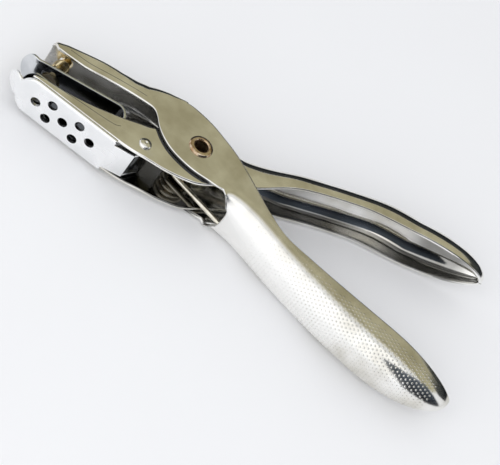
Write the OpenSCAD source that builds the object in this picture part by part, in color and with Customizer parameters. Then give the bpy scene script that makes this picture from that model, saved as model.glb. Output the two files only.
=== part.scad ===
// Single hole punch: two crossing pressed-steel levers on a hollow rivet, a
// sliding punch pin, a folded throat strip and a chip tray that swings down.
// The nose points to -X, the grips to +X and the upper jaw to +Y. The pivot
// axis is Z, so the punch lies on its side with the origin in its pivot.

/* [Sheet metal] */
// Thickness of the lever sheet
sheet_t = 1; // [0.8:0.1:1.2]
// Thickness of the throat strip and of the chip tray
strip_t = 0.8; // [0.6:0.1:1]

/* [Levers] */
// Outer width of the upper lever at the pivot, and of both grips
lever_w = 14; // [12.5:0.5:18]
// Side clearance between the nested lever walls
side_gap = 0.15; // [0.1:0.05:0.3]
// How far the lower jaw stands out, on each side, from its pressed-in pivot area
jaw_step = 0.3; // [0.1:0.05:0.6]
// Radius of the pressed-in pivot area of the lower lever
pivot_area_r = 12.4; // [12:0.1:13.5]
// Pivot axis to the tip of the upper lever's grip
upper_reach = 86; // [78:1:100]
// Pivot axis to the tip of the lower lever's grip
lower_reach = 78.5; // [72:0.5:90]
// Length over which each grip rounds off to its tip
tip_len = 22; // [16:1:28]
// Corner radius of the upper lever's grip
upper_grip_r = 6.2; // [5:0.1:6.2]
// Corner radius of the lower lever's grip
lower_grip_r = 5.5; // [4:0.25:6]
// Swell of the grip backs
grip_crown = 0.1; // [0:0.1:1]
// Corner radius of the upper jaw
jaw_r = 1.8; // [1.2:0.1:2.4]

/* [Pivot rivet] */
// Outer diameter of the hollow rivet
rivet_d = 4.6; // [4.2:0.1:5]
// Bore of the hollow rivet
rivet_bore = 3.6; // [2.8:0.1:3.8]
// Diameter of the rolled flanges
flange_d = 6.4; // [5.8:0.1:7.5]
// Thickness of the rolled flanges
flange_t = 0.6; // [0.5:0.1:1]
// Radial clearance of the rivet in the levers
pivot_fit = 0.04; // [0.02:0.01:0.08]
// Clearance under the rolled flanges
flange_gap = 0.05; // [0.02:0.01:0.1]

/* [Punch pin] */
// Pivot axis to the pin axis
pin_reach = 39; // [37:0.5:42]
// Diameter of the pin
pin_d = 4.4; // [3.6:0.1:5]
// Diameter of the stem that passes through the upper jaw
stem_d = 2.6; // [2:0.1:2.8]
// Radial play of the stem in the upper jaw
stem_play = 0.5; // [0.45:0.05:0.7]
// Diameter of the head above the upper jaw
head_d = 4.6; // [4.4:0.1:5.4]
// Height of the domed head
head_h = 1.1; // [0.8:0.1:1.5]
// Radial clearance of the pin in its guide and its die
pin_fit = 0.05; // [0.02:0.01:0.08]
// How far the pin shows below its guide when the jaws are open
tip_out = 0.1; // [0:0.1:0.6]

/* [Throat strip] */
// Depth of the guide leaf below the pivot axis, at the pin
guide_drop = 6.3; // [6:0.1:6.8]
// Slope of the guide leaf, in degrees
guide_slope = 11.5; // [9:0.5:13]
// Depth of the die leaf's upper face below the pivot axis
die_drop = 11.6; // [11.2:0.1:12]
// How far the guide leaf is set in from the sides of the die leaf
guide_inset = 0.7; // [0.4:0.1:1.2]
// Clearance of the strip inside the lower lever
strip_fit = 0.05; // [0.02:0.01:0.1]

/* [Die bush] */
// Outer diameter of the die bush
bush_d = 7; // [6.4:0.1:7.6]
// Diameter of its seating flange
bush_flange_d = 8.4; // [8:0.1:8.6]
// Clearance between its seating flange and the skirts of the die leaf
bush_side_gap = 0.1; // [0.05:0.05:0.3]
// Height of its seating flange
bush_flange_t = 0.6; // [0.5:0.1:0.7]
// Clearance round the bush in the die leaf
bush_fit = 0.02; // [0.01:0.01:0.05]

/* [Chip tray] */
// Depth of the tray's underside below the pivot axis
tray_drop = 15.2; // [14.9:0.1:16]
// Clearance between the tray and the lower edge of the jaw
tray_gap = 0.15; // [0.1:0.05:0.3]
// How far the tray is set in from the sides of the jaw
tray_inset = 0.15; // [0.05:0.05:0.3]
// Pin axis to the front edge of the tray's floor
tray_front = 5.1; // [4.6:0.1:5.6]
// Height of the finger tab at the tray's front above its underside
tab_h = 2.8; // [2:0.1:3.2]
// Slope of the finger tab, in degrees
tab_slope = 40; // [35:1:50]
// Half width over which the finger tab rounds off
tab_half = 4.2; // [3.6:0.1:4.6]
// Side clearance of the tray's tail
tail_gap = 0.75; // [0.3:0.05:1]
// Diameter of the holes in the tray
hole_d = 2.7; // [1.8:0.1:3]
// Spacing of the holes along the tray
hole_pitch = 8.1; // [7:0.1:9]
// Offset of the outer rows of holes
hole_row = 2.6; // [2:0.1:3]

/* [Tray hinge] */
// Pivot axis back to the hinge axis
hinge_back = 11; // [10.8:0.1:12]
// Depth of the hinge axis below the pivot axis
hinge_drop = 9.8; // [9.4:0.1:10.2]
// Diameter of the hinge pin
hinge_d = 2; // [1.6:0.1:2.2]
// Diameter of its domed heads
hinge_head_d = 3.3; // [3:0.1:3.8]
// Height of its domed heads
hinge_head_h = 0.7; // [0.5:0.1:0.9]
// Radial clearance of the hinge pin
hinge_fit = 0.04; // [0.02:0.01:0.08]
// Clearance under the hinge pin's heads
hinge_head_gap = 0.03; // [0.02:0.01:0.1]
// Radius of the tray's hinge ears
ear_r = 2.3; // [2:0.1:2.4]

/* [Return spring] */
// Diameter of the spring wire
wire_d = 1.3; // [1:0.1:1.4]
// Mean radius of the coil
coil_r = 3.5; // [3.3:0.1:3.7]
// Whole turns of the coil
coil_turns = 3; // [2:1:3]
// Axial pitch of the coil
coil_pitch = 1.95; // [1.85:0.05:2.05]
// Length of the straight legs
leg_len = 25; // [20:1:26]

/* [Hidden] */

$fn = 48;
// Cutters reach this far past what they cut
over = 1;
chrome = "lightgrey";

// Half widths, from the outside in
upper_half = lever_w / 2;
pivot_half = upper_half - sheet_t - side_gap;
jaw_half = pivot_half + jaw_step;
strip_half = jaw_half - sheet_t - strip_fit;
guide_half = strip_half - guide_inset;
tail_half = strip_half + strip_fit - tail_gap;
nose_taper = 0.7;
nose_half = upper_half - nose_taper;

// Levels and stations along the punch
pin_x = -pin_reach;
nose_ahead = 4.8;
nose_x = pin_x - nose_ahead;
jaw_ahead = 3;
jaw_tip_x = pin_x - jaw_ahead;
lip_ahead = 8.4;
lip_x = pin_x - lip_ahead;
rim_rise = 0.05;
jaw_low = -tray_drop + strip_t + rim_rise + tray_gap;
die_y = -die_drop;
hinge_x = -hinge_back;
hinge_y = -hinge_drop;
upper_tip_x = upper_reach - tip_len;
lower_tip_x = lower_reach - tip_len;

// Side outlines of the upper lever: the top runs along the jaw, over the pivot
// and down to the grip's rim, the bottom along the jaw walls and the grip's back
upper_top = [[nose_x, 0.9], [pin_x - 1.5, 1.8], [-32, 4.4], [-26, 5.7], [-20.5, 7.9], [-17, 9.1],
             [-12.5, 9.8], [-7.5, 9.8], [-2, 9.2], [2, 8.1], [8.8, 5.5], [18.1, 0.1], [23.1, -3],
             [28.7, -5.8], [34, -6.8], [upper_tip_x, -8.8], [upper_reach, -10]];
upper_low = [[nose_x, -0.4], [pin_x - 2, -0.9], [pin_x + 1, -1.6], [-33.7, -1.7], [-27.8, -0.3], [-22, 0.6],
             [-16, 1], [-14.2, 0.5], [-12.6, -1], [-11.2, -2.8], [-8.8, -4.8], [-5.8, -6.4], [-1.7, -7.4],
             [2.5, -7.7], [7, -7.3], [9.5, -7.5], [14.8, -8.6], [20.3, -10.1], [30.7, -13.4],
             [40.8, -15.9], [50.6, -17.8], [60, -19.1], [upper_tip_x, -19.4]];
// How far the jaw's sides stand out from the nose's half width
upper_width = [[nose_x, -2.1], [nose_x + 0.6, -1], [nose_x + 1.6, -0.4], [nose_x + 3.4, 0], [-24, 0.3],
               [-14, nose_taper]];
// The jaw's web ends before the pivot, and the grip's back starts behind it in an arch
upper_web_end = -9;
web_end_r = 0.6;
web_end_len = 10;
upper_back_start = 14.8;
upper_back_r = 1.5;
upper_back_len = 15;
upper_arch = 4.3;
pivot_arch = 0.15;

// Side outlines of the lower lever: the top runs along the jaw wall and the
// grip's back, the bottom along the jaw's lower edge and the grip's rim
lower_top = [[jaw_tip_x, jaw_low + 0.35], [-37.6, -12.5], [-32.7, -11.7], [-27.5, -10.3], [-23.2, -8.8],
             [-19, -7.1], [-14.9, -5.1], [-12, -3.4], [-8, -0.2], [-4, 3.2], [0, 6], [5, 8.2], [10.5, 9.6],
             [17.6, 13.6], [27.2, 18.9], [36.9, 24], [46.9, 28.5], [lower_tip_x, 30.7]];
lower_low = [[jaw_tip_x, jaw_low], [-16, jaw_low], [-11.6, -13.8], [-7, -12.9], [-2.2, -11.9],
             [2.3, -10.4], [5.2, -8.9], [11.7, -3], [16.7, 1.5], [22.6, 7.4], [29.2, 11.9], [38.5, 16.9],
             [45, 19.7], [lower_tip_x, 22.9], [lower_reach, 29.5]];
lower_back_start = 7;
lower_back_r = 1;
lower_back_len = 12;
lower_arch = 2;

// How the grips close towards their tips, in depth and in width
tip_depth_power = 0.75;
upper_tip_power = 1.5;
lower_tip_power = 1.2;

// Where the lower grip has cleared the upper lever's walls, and its full width
splay_start_r = 19;
splay_end_r = 30;

// Height of a smooth curve through a list of points
function knot_slope(p, i) =
    let (a = p[max(i - 1, 0)], b = p[min(i + 1, len(p) - 1)]) (b.y - a.y) / (b.x - a.x);
function knot_before(p, x, i = 0) = i >= len(p) - 2 || x < p[i + 1].x ? i : knot_before(p, x, i + 1);
function curve(p, x) =
    let (i = knot_before(p, x), a = p[i], b = p[i + 1], h = b.x - a.x, t = min(max((x - a.x) / h, 0), 1),
         u = 1 - t)
    a.y * (1 + 2 * t) * u * u + b.y * t * t * (3 - 2 * t) +
    h * t * u * (knot_slope(p, i) * u - knot_slope(p, i + 1) * t);
function ease(t) = let (c = min(max(t, 0), 1)) c * c * (3 - 2 * c);
function mix(a, b, t) = a + (b - a) * t;

// Share of the section left at x on the rounded tip that starts at x0, for the
// outside (inset 0) or the inside of the sheet
function tip_left(x, x0, reach, inset) =
    let (t = (x - x0) / (reach - inset - x0)) t <= 0 ? 1 : sqrt(max(1 - t * t, 0));

// Each lever as functions of x, y and the inset from its outer faces
function upper_hi(x, inset, web) = curve(upper_top, x) - (web ? inset : 0);
function upper_lo(x, inset, web) =
    x < upper_tip_x ? curve(upper_low, x) + (web ? inset : 0)
    : let (depth = curve(upper_top, upper_tip_x) - curve(upper_low, upper_tip_x),
           left = tip_left(x, upper_tip_x, upper_reach, inset))
      curve(upper_top, x) - (depth - inset) * pow(left, tip_depth_power);
function upper_w(x, y, inset) =
    (nose_half + curve(upper_width, x) - inset)
    * pow(tip_left(x, upper_tip_x, upper_reach, inset), upper_tip_power);

function lower_lo(x, inset, web) = curve(lower_low, x) + (web ? inset : 0);
function lower_hi(x, inset, web) =
    x < lower_tip_x ? curve(lower_top, x) - (web ? inset : 0)
    : let (depth = curve(lower_top, lower_tip_x) - curve(lower_low, lower_tip_x),
           left = tip_left(x, lower_tip_x, lower_reach, inset))
      curve(lower_low, x) + (depth - inset) * pow(left, tip_depth_power);
function lower_w(x, y, inset) =
    let (r = norm([x, y]),
         splay = ease((r - splay_start_r) / (splay_end_r - splay_start_r)),
         wide = x < 0 ? jaw_step * ease(r - pivot_area_r) : (upper_half - pivot_half) * splay)
    (pivot_half + wide - inset) * pow(tip_left(x, lower_tip_x, lower_reach, inset), lower_tip_power);

// Points round a section: near wall, top corner, top web, top corner, far wall,
// and the same along the bottom
STEPS = [3, 5, 4, 5, 3, 5, 4, 5];
// Least corner radius, and how much of a section's depth a corner may take
least_r = 0.2;
corner_share = 0.95;
LOOP = [for (k = [0:7]) for (m = [0:STEPS[k] - 1]) [k, m / STEPS[k]]];
function loop_y(k, f, hi, lo, rt, rb, crown_t, crown_b) =
    k == 0 ? mix(lo + rb, hi - rt, f) :
    k == 1 ? hi - rt + rt * sin(90 * f) :
    k == 2 ? hi + crown_t * 4 * f * (1 - f) :
    k == 3 ? hi - rt + rt * cos(90 * f) :
    k == 4 ? mix(hi - rt, lo + rb, f) :
    k == 5 ? lo + rb - rb * sin(90 * f) :
    k == 6 ? lo - crown_b * 4 * f * (1 - f) : lo + rb - rb * cos(90 * f);
function loop_z(k, f, w, rt, rb) =
    k == 0 ? w :
    k == 1 ? w - rt + rt * cos(90 * f) :
    k == 2 ? (w - rt) * (1 - 2 * f) :
    k == 3 ? -(w - rt) - rt * sin(90 * f) :
    k == 4 ? -w :
    k == 5 ? -(w - rb) - rb * cos(90 * f) :
    k == 6 ? -(w - rb) * (1 - 2 * f) : w - rb + rb * sin(90 * f);

// One ring of points. A row is [x, top web, bottom web, top radius, bottom
// radius, arch, crown]: arch draws the sides of the row back towards -X
function ring(row, hi, lo, wid, x0, reach, inset) =
    [for (s = LOOP)
        let (k = s[0], f = s[1], side = k == 2 || k == 6 ? 1 - 2 * f : 1,
             x_out = row[0] - row[5] * side * side,
             x = x_out <= x0 ? x_out : x0 + (x_out - x0) * (reach - inset - x0) / (reach - x0),
             h = hi(x, inset, row[1]), l = lo(x, inset, row[2]),
             fit = tip_left(x, x0, reach, inset), room = (h - l) * corner_share,
             rt = row[1] ? min(max(row[3] - inset, least_r) * fit, room) : 0,
             rb = row[2] ? min(max(row[4] - inset, least_r) * fit, room) : 0,
             swell = row[6] * fit,
             y = loop_y(k, f, h, l, rt, rb, row[1] ? swell : 0, row[2] ? swell : 0))
        [x, y, loop_z(k, f, wid(x, y, inset), rt, rb)]];

// A bent sheet of even thickness: the rows give its rings, a cell between two
// rows is metal where its wall or web is there, and the grip closes in a tip
module bent_sheet(rows, hi, lo, wid, x0, reach, rim) {
    n = len(rows);
    m = len(LOOP);
    outside = [for (r = rows) each ring(r, hi, lo, wid, x0, reach, 0)];
    inside = [for (r = rows) each ring(r, hi, lo, wid, x0, reach, sheet_t)];
    tips = [[reach, rim, 0], [reach - sheet_t, rim, 0]];
    function at(i, j, s) = i == n ? 2 * n * m + s : s * n * m + i * m + (j + m) % m;
    function metal(i, j) =
        let (k = LOOP[(j + m) % m][0])
        i < 0 || i >= n ? false
        : k == 0 || k == 4 ? true
        : i == n - 1 ? (k < 4 ? rows[i][1] : rows[i][2])
        : k < 4 ? rows[i][1] && rows[i + 1][1] : rows[i][2] && rows[i + 1][2];
    function quad(a, b, c, d) = [[a, b, c], [a, c, d]];
    faces = [for (i = [0:n - 1]) for (j = [0:m - 1]) if (metal(i, j))
        each concat(
            quad(at(i, j, 0), at(i, j + 1, 0), at(i + 1, j + 1, 0), at(i + 1, j, 0)),
            quad(at(i, j, 1), at(i + 1, j, 1), at(i + 1, j + 1, 1), at(i, j + 1, 1)),
            metal(i, j - 1) ? [] : quad(at(i, j, 0), at(i + 1, j, 0), at(i + 1, j, 1), at(i, j, 1)),
            metal(i, j + 1) ? []
                : quad(at(i, j + 1, 0), at(i, j + 1, 1), at(i + 1, j + 1, 1), at(i + 1, j + 1, 0)),
            metal(i - 1, j) ? [] : quad(at(i, j, 0), at(i, j, 1), at(i, j + 1, 1), at(i, j + 1, 0)),
            i == n - 1 || metal(i + 1, j) ? []
                : quad(at(i + 1, j, 0), at(i + 1, j + 1, 0), at(i + 1, j + 1, 1), at(i + 1, j, 1)))];
    polyhedron(points = concat(outside, inside, tips),
               faces = [for (f = faces) if (f[0] != f[1] && f[1] != f[2] && f[2] != f[0]) f]);
}

function tip_rows(x0, reach, top, bottom, r) =
    [for (a = [12, 25, 38, 50, 61, 71, 80]) [x0 + (reach - x0) * sin(a), top, bottom, r, r, 0, grip_crown]];

upper_rows = concat(
    [for (x = [nose_x, nose_x + 0.6, nose_x + 1.6, nose_x + 3.4, pin_x + 2, each [-34:3:-16], -14, -12.5, -11,
               upper_web_end])
        [x, true, false, min(jaw_r, mix(web_end_r, jaw_r, (upper_web_end - x) / web_end_len)), 0, 0, 0]],
    [for (x = [each [-7:3:5], 8.5]) [x, false, false, 0, 0, pivot_arch * max(x, 0), 0]],
    [for (x = [upper_back_start, 17, 20, 24, 29])
        let (full = ease((x - upper_back_start) / upper_back_len))
        [x, false, true, 0, mix(upper_back_r, upper_grip_r, full), upper_arch * (1 - full),
         grip_crown * full]],
    [for (x = [each [34:5:upper_tip_x - 1], upper_tip_x]) [x, false, true, 0, upper_grip_r, 0, grip_crown]],
    tip_rows(upper_tip_x, upper_reach, false, true, upper_grip_r));

lower_rows = concat(
    [for (x = [jaw_tip_x, -39.5, each [-37:3:-16], -13.5, -12, each [-10:3:2], 4.5])
        [x, false, false, 0, 0, 0, 0]],
    [for (x = [lower_back_start, 10, 13.5, each [17:3:26]])
        let (full = ease((x - lower_back_start) / lower_back_len))
        [x, true, false, mix(lower_back_r, lower_grip_r, full), 0, lower_arch * (1 - full),
         grip_crown * full]],
    [for (x = [each [30:5:lower_tip_x - 1], lower_tip_x]) [x, true, false, lower_grip_r, 0, 0, grip_crown]],
    tip_rows(lower_tip_x, lower_reach, true, false, lower_grip_r));

// A round bar along Z through both walls
module cross_bore(x, y, d) {
    translate([x, y, 0])
        cylinder(h = lever_w + 2 * over, d = d, center = true);
}

// A round bar along Y that rises from height y
module up_bar(y, h, d) {
    translate([pin_x, y, 0])
        rotate([-90, 0, 0])
            cylinder(h = h, d = d);
}

module lower_lever() {
    color(chrome)
        difference() {
            bent_sheet(lower_rows,
                       function(x, s, web) lower_hi(x, s, web),
                       function(x, s, web) lower_lo(x, s, web),
                       function(x, y, s) lower_w(x, y, s),
                       lower_tip_x, lower_reach, curve(lower_low, lower_reach));
            cross_bore(0, 0, rivet_d + 2 * pivot_fit);
            cross_bore(hinge_x, hinge_y, hinge_d + 2 * hinge_fit);
        }
}

module upper_lever() {
    color(chrome)
        difference() {
            bent_sheet(upper_rows,
                       function(x, s, web) upper_hi(x, s, web),
                       function(x, s, web) upper_lo(x, s, web),
                       function(x, y, s) upper_w(x, y, s),
                       upper_tip_x, upper_reach, curve(upper_top, upper_reach));
            cross_bore(0, 0, rivet_d + 2 * pivot_fit);
            up_bar(-over, curve(upper_top, pin_x) + 3 * over, stem_d + 2 * stem_play);
        }
}

// The hollow rivet is turned about Z, with a rolled flange outside each wall
module pivot_rivet() {
    reach = upper_half + flange_gap;
    roll = flange_t / 2;
    color("chocolate")
        rotate_extrude()
            union() {
                translate([rivet_bore / 2, -reach - flange_t])
                    square([(rivet_d - rivet_bore) / 2, 2 * (reach + flange_t)]);
                for (side = [-1, 1]) {
                    translate([rivet_bore / 2, side * (reach + roll) - roll])
                        square([flange_d / 2 - roll - rivet_bore / 2, flange_t]);
                    translate([flange_d / 2 - roll, side * (reach + roll)])
                        circle(r = roll);
                }
            }
}

// Spring path: in along the lower leg, clockwise round the coil, out along the
// upper leg. The legs leave the coil at a tangent
lower_leg_deg = -12.8;
upper_leg_deg = 20.5;
coil_sweep = 180 - (upper_leg_deg - lower_leg_deg) + 360 * coil_turns;
coil_len = coil_pitch * coil_sweep / 360;
coil_rings = ceil(coil_sweep / 45);
function coil_point(t) =
    let (a = lower_leg_deg - 90 - coil_sweep * t) [coil_r * cos(a), coil_r * sin(a), coil_len * (t - 0.5)];
function along(p, dir, d) = p + d * [cos(dir), sin(dir), 0];
spring_path = concat(
    [for (d = [leg_len, leg_len - wire_d, leg_len / 2, wire_d]) along(coil_point(0), lower_leg_deg, d)],
    [for (i = [0:coil_rings]) coil_point(i / coil_rings)],
    [for (d = [wire_d, leg_len / 2, leg_len - wire_d, leg_len]) along(coil_point(1), upper_leg_deg, d)]);

// Least gap of the spring to itself, measured between points half a turn apart
// or more along the coil
gap_points = [for (i = [0:16 * coil_turns + 8]) coil_point(i / (16 * coil_turns + 8))];
spring_gap = min([for (i = [0:len(gap_points) - 1]) for (j = [i + 8:1:len(gap_points) - 1])
    norm(gap_points[i] - gap_points[j])]) - wire_d;
echo(spring_gap = spring_gap);

function unit(v) = v / norm(v);
module wire(path, d, sides = 6) {
    n = len(path);
    dirs = [for (i = [0:n - 1]) unit(path[min(i + 1, n - 1)] - path[max(i - 1, 0)])];
    points = [for (i = [0:n - 1])
        let (up = unit([0, 0, 1] - dirs[i] * dirs[i].z), out = cross(dirs[i], up))
        for (k = [0:sides - 1]) path[i] + d / 2 * (cos(360 * k / sides) * out + sin(360 * k / sides) * up)];
    skin = [for (i = [0:n - 2]) for (k = [0:sides - 1])
        let (a = i * sides + k, b = i * sides + (k + 1) % sides)
        each [[a, b, b + sides], [a, b + sides, a + sides]]];
    last = (n - 1) * sides;
    caps = [for (k = [1:sides - 2]) each [[0, k + 1, k], [last, last + k, last + k + 1]]];
    polyhedron(points = points, faces = concat(skin, caps));
}

module return_spring() {
    color("silver")
        wire(spring_path, wire_d);
}

// Sheet profile of thickness t along a path, closed with square ends
function path_normal(p, i) =
    let (d = unit(p[min(i + 1, len(p) - 1)] - p[max(i - 1, 0)])) [-d.y, d.x];
module sheet_profile(p, t) {
    polygon(concat([for (i = [0:len(p) - 1]) p[i] + path_normal(p, i) * t / 2],
                   [for (i = [len(p) - 1:-1:0]) p[i] - path_normal(p, i) * t / 2]));
}

// Middle line of the guide leaf, and the hairpin path of the whole strip
function guide_y(x) = -guide_drop + tan(guide_slope) * (x - pin_x);
strip_back_x = -18.6;
hairpin_top_x = -21.8;
hairpin_low_y = die_y - strip_t / 2;
hairpin_ry = (guide_y(hairpin_top_x) - hairpin_low_y) / 2;
// The front lip flares up from the guide leaf: distance back from its edge, and rise
lip_flare = [[0, 1.8], [1.5, 1.05], [2.7, 0.35], [3.6, 0]];
lip_round = 2.9;
guide_path = concat(
    [for (f = lip_flare) [lip_x + f.x, guide_y(lip_x + f.x) + f.y]],
    [for (x = [pin_x, -30, hairpin_top_x]) [x, guide_y(x)]],
    [for (a = [75:-15:-75])
        [hairpin_top_x + (strip_back_x - hairpin_top_x) * cos(a),
         hairpin_low_y + hairpin_ry * (1 + sin(a))]],
    [[hairpin_top_x, hairpin_low_y], [hairpin_top_x - 2, hairpin_low_y]]);
die_ahead = 5.2;
die_front_x = pin_x - die_ahead;
die_back_x = hairpin_top_x - 1;
die_round = 3;
skirt_lift = 0.6;
guide_bore_h = 6;

// An outline given as x and z, raised from height y0 to y1
module plan_prism(y0, y1) {
    translate([0, y1, 0])
        rotate([90, 0, 0])
            linear_extrude(height = y1 - y0)
                children();
}

module throat_strip() {
    color(chrome)
        difference() {
            union() {
                intersection() {
                    translate([0, 0, -guide_half])
                        linear_extrude(height = 2 * guide_half)
                            sheet_profile(guide_path, strip_t);
                    plan_prism(die_y - strip_t - over, 0)
                        polygon(concat([[strip_back_x + over, guide_half + over]],
                                       [for (a = [90:-10:-90])
                                           [lip_x + lip_round * (1 - cos(a)), guide_half * sin(a)]],
                                       [[strip_back_x + over, -guide_half - over]]));
                }
                plan_prism(die_y - strip_t, die_y)
                    polygon(concat([[die_back_x, strip_half]],
                                   [for (a = [90:-15:-90])
                                       [die_front_x + die_round * (1 - cos(a)), strip_half * sin(a)]],
                                   [[die_back_x, -strip_half]]));
                for (side = [-1, 1])
                    skirt(side, jaw_low + skirt_lift);
            }
            up_bar(-guide_drop - guide_bore_h / 2, guide_bore_h, pin_d + 2 * pin_fit);
            up_bar(die_y - strip_t - over, strip_t + 2 * over, bush_d + 2 * bush_fit);
            up_bar(jaw_low, die_y - strip_t - jaw_low, bush_flange_d + 2 * bush_side_gap);
        }
}

// Side skirt of the die leaf, inside the wall of the lower jaw
module skirt(side, low) {
    front = die_front_x + die_round;
    translate([front, low, side * (strip_half - strip_t / 2) - strip_t / 2])
        cube([die_back_x - front, die_y - strip_t / 2 - low, strip_t]);
}

module die_bush() {
    plate_low = die_y - strip_t;
    color("dimgrey")
        difference() {
            union() {
                up_bar(plate_low - bush_flange_t / 2, strip_t + bush_flange_t / 2, bush_d);
                up_bar(plate_low - bush_flange_t, bush_flange_t, bush_flange_d);
            }
            up_bar(plate_low - bush_flange_t - over, strip_t + bush_flange_t + 2 * over,
                   pin_d + 2 * pin_fit);
        }
}

// The pin is turned about its own axis: the cutting end with its shallow hollow,
// a domed shoulder under the upper jaw, the stem and the domed head above it.
// The jaw tilts on the stem, so the shoulder and the head keep clear of it
jaw_pin_y = curve(upper_top, pin_x) - sheet_t / 2;
shoulder_y = jaw_pin_y - 2.05;
shoulder_dome = 0.7;
head_y = jaw_pin_y + 1.75;
head_rim = 0.25;
tip_hollow = 0.6;
pin_tip_y = guide_y(pin_x - pin_d / 2) - strip_t / 2 / cos(guide_slope) - tip_out;
module punch_pin() {
    shoulder_w = (pin_d - stem_d) / 2;
    color("goldenrod")
        translate([pin_x, 0, 0])
            rotate([-90, 0, 0])
                rotate_extrude()
                    polygon(concat(
                        [[0, pin_tip_y + tip_hollow], [pin_d / 2, pin_tip_y], [pin_d / 2, shoulder_y]],
                        [for (a = [15:15:75])
                            [stem_d / 2 + shoulder_w * cos(a), shoulder_y + shoulder_dome * sin(a)]],
                        [[stem_d / 2, shoulder_y + shoulder_dome], [stem_d / 2, head_y]],
                        [for (a = [0:15:75])
                            [head_d / 2 * cos(a), head_y + head_rim + (head_h - head_rim) * sin(a)]],
                        [[0, head_y + head_h]]));
}

// Plan of the tray, set in by some depth: an oval nose on straight sides
tray_half = jaw_half - tray_inset;
tray_front_x = pin_x - tray_front;
tray_oval = 4.5;
tray_back_x = -16.5;
tail_back_x = -11.1;
tail_rise = 1.5;
holes_back = 9;
module tray_plan(inset) {
    nose_r = tray_oval - inset;
    polygon(concat([for (a = [90:-7.5:-90])
                       [tray_front_x + tray_oval - nose_r * cos(a), (tray_half - inset) * sin(a)]],
                   [[tray_back_x, inset - tray_half], [tray_back_x, tray_half - inset]]));
}

// The finger tab leans out from the front of the floor and is rounded off
tab_turn_r = 7.5;
tab_reach = tab_h / tan(tab_slope);
module finger_tab() {
    skin = strip_t / sin(tab_slope);
    intersection() {
        translate([tray_front_x + tab_turn_r, -tray_drop, 0])
            rotate([-90, 0, 0])
                rotate([0, 0, 90])
                    rotate_extrude(angle = 180)
                        polygon([[tab_turn_r - skin, 0], [tab_turn_r, 0], [tab_turn_r + tab_reach, tab_h],
                                 [tab_turn_r + tab_reach - skin, tab_h]]);
        translate([tray_front_x - tab_reach - over, -tray_drop + tab_h - tab_half, 0])
            rotate([0, 90, 0])
                cylinder(h = tab_reach + tray_oval, r = tab_half);
    }
}

module chip_tray() {
    low = -tray_drop;
    color("white")
        difference() {
            union() {
                plan_prism(low, low + strip_t)
                    tray_plan(0);
                plan_prism(low, jaw_low - tray_gap)
                    difference() {
                        tray_plan(0);
                        tray_plan(strip_t);
                    }
                finger_tab();
                tray_tail();
            }
            for (i = [-1, 0, 1])
                tray_hole(i * hole_pitch, 0);
            for (i = [-0.5, 0.5])
                for (side = [-1, 1])
                    tray_hole(i * hole_pitch, side * hole_row);
            cross_bore(hinge_x, hinge_y, hinge_d + 2 * hinge_fit);
        }
}

module tray_hole(dx, z) {
    translate([pin_x + holes_back + dx, -tray_drop - over, z])
        rotate([-90, 0, 0])
            cylinder(h = strip_t + 2 * over, d = hole_d);
}

// The tail passes up between the jaw walls to two ears on the hinge pin
module tray_tail() {
    low = -tray_drop;
    translate([0, 0, -tail_half])
        linear_extrude(height = 2 * tail_half)
            polygon([[tray_back_x - 1, low], [tray_back_x, low], [tail_back_x, low + tail_rise],
                     [tail_back_x, low + tail_rise + strip_t], [tray_back_x, low + strip_t],
                     [tray_back_x - 1, low + strip_t]]);
    for (side = [-1, 1])
        translate([0, 0, side * (tail_half - strip_t / 2) - strip_t / 2])
            linear_extrude(height = strip_t)
                union() {
                    translate([hinge_x, hinge_y])
                        circle(r = ear_r);
                    polygon([[hinge_x - ear_r, hinge_y], [tray_back_x, low + strip_t / 2],
                             [tail_back_x, low + tail_rise + strip_t / 2], [hinge_x + ear_r, hinge_y]]);
                }
}

module tray_hinge_pin() {
    reach = jaw_half + hinge_head_gap;
    dome_r = (pow(hinge_head_d / 2, 2) + pow(hinge_head_h, 2)) / (2 * hinge_head_h);
    color(chrome)
        translate([hinge_x, hinge_y, 0])
            rotate_extrude()
                polygon(concat(
                    [[0, -reach - hinge_head_h]],
                    [for (f = [1:6]) let (a = f / 6 * asin(hinge_head_d / 2 / dome_r))
                        [dome_r * sin(a), -reach - hinge_head_h + dome_r * (1 - cos(a))]],
                    [[hinge_d / 2, -reach], [hinge_d / 2, reach]],
                    [for (f = [6:-1:1]) let (a = f / 6 * asin(hinge_head_d / 2 / dome_r))
                        [dome_r * sin(a), reach + hinge_head_h - dome_r * (1 - cos(a))]],
                    [[0, reach + hinge_head_h]]));
}

lower_lever();
upper_lever();
pivot_rivet();
return_spring();
throat_strip();
die_bush();
punch_pin();
chip_tray();
tray_hinge_pin();
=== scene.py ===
"""Single hole punch of plated pressed steel, lying on its side on a pale table.

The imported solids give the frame. Each lever, the strip, the tray and the small
turned pieces are shaped again here with rounded sheet edges and finer curves.
Sizes are in millimetres until a mesh is made, and the stage's are in metres.
"""
import math
from types import SimpleNamespace

import bmesh
import bpy
import numpy as np
from mathutils import Matrix, Vector
from mathutils.bvhtree import BVHTree


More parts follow.
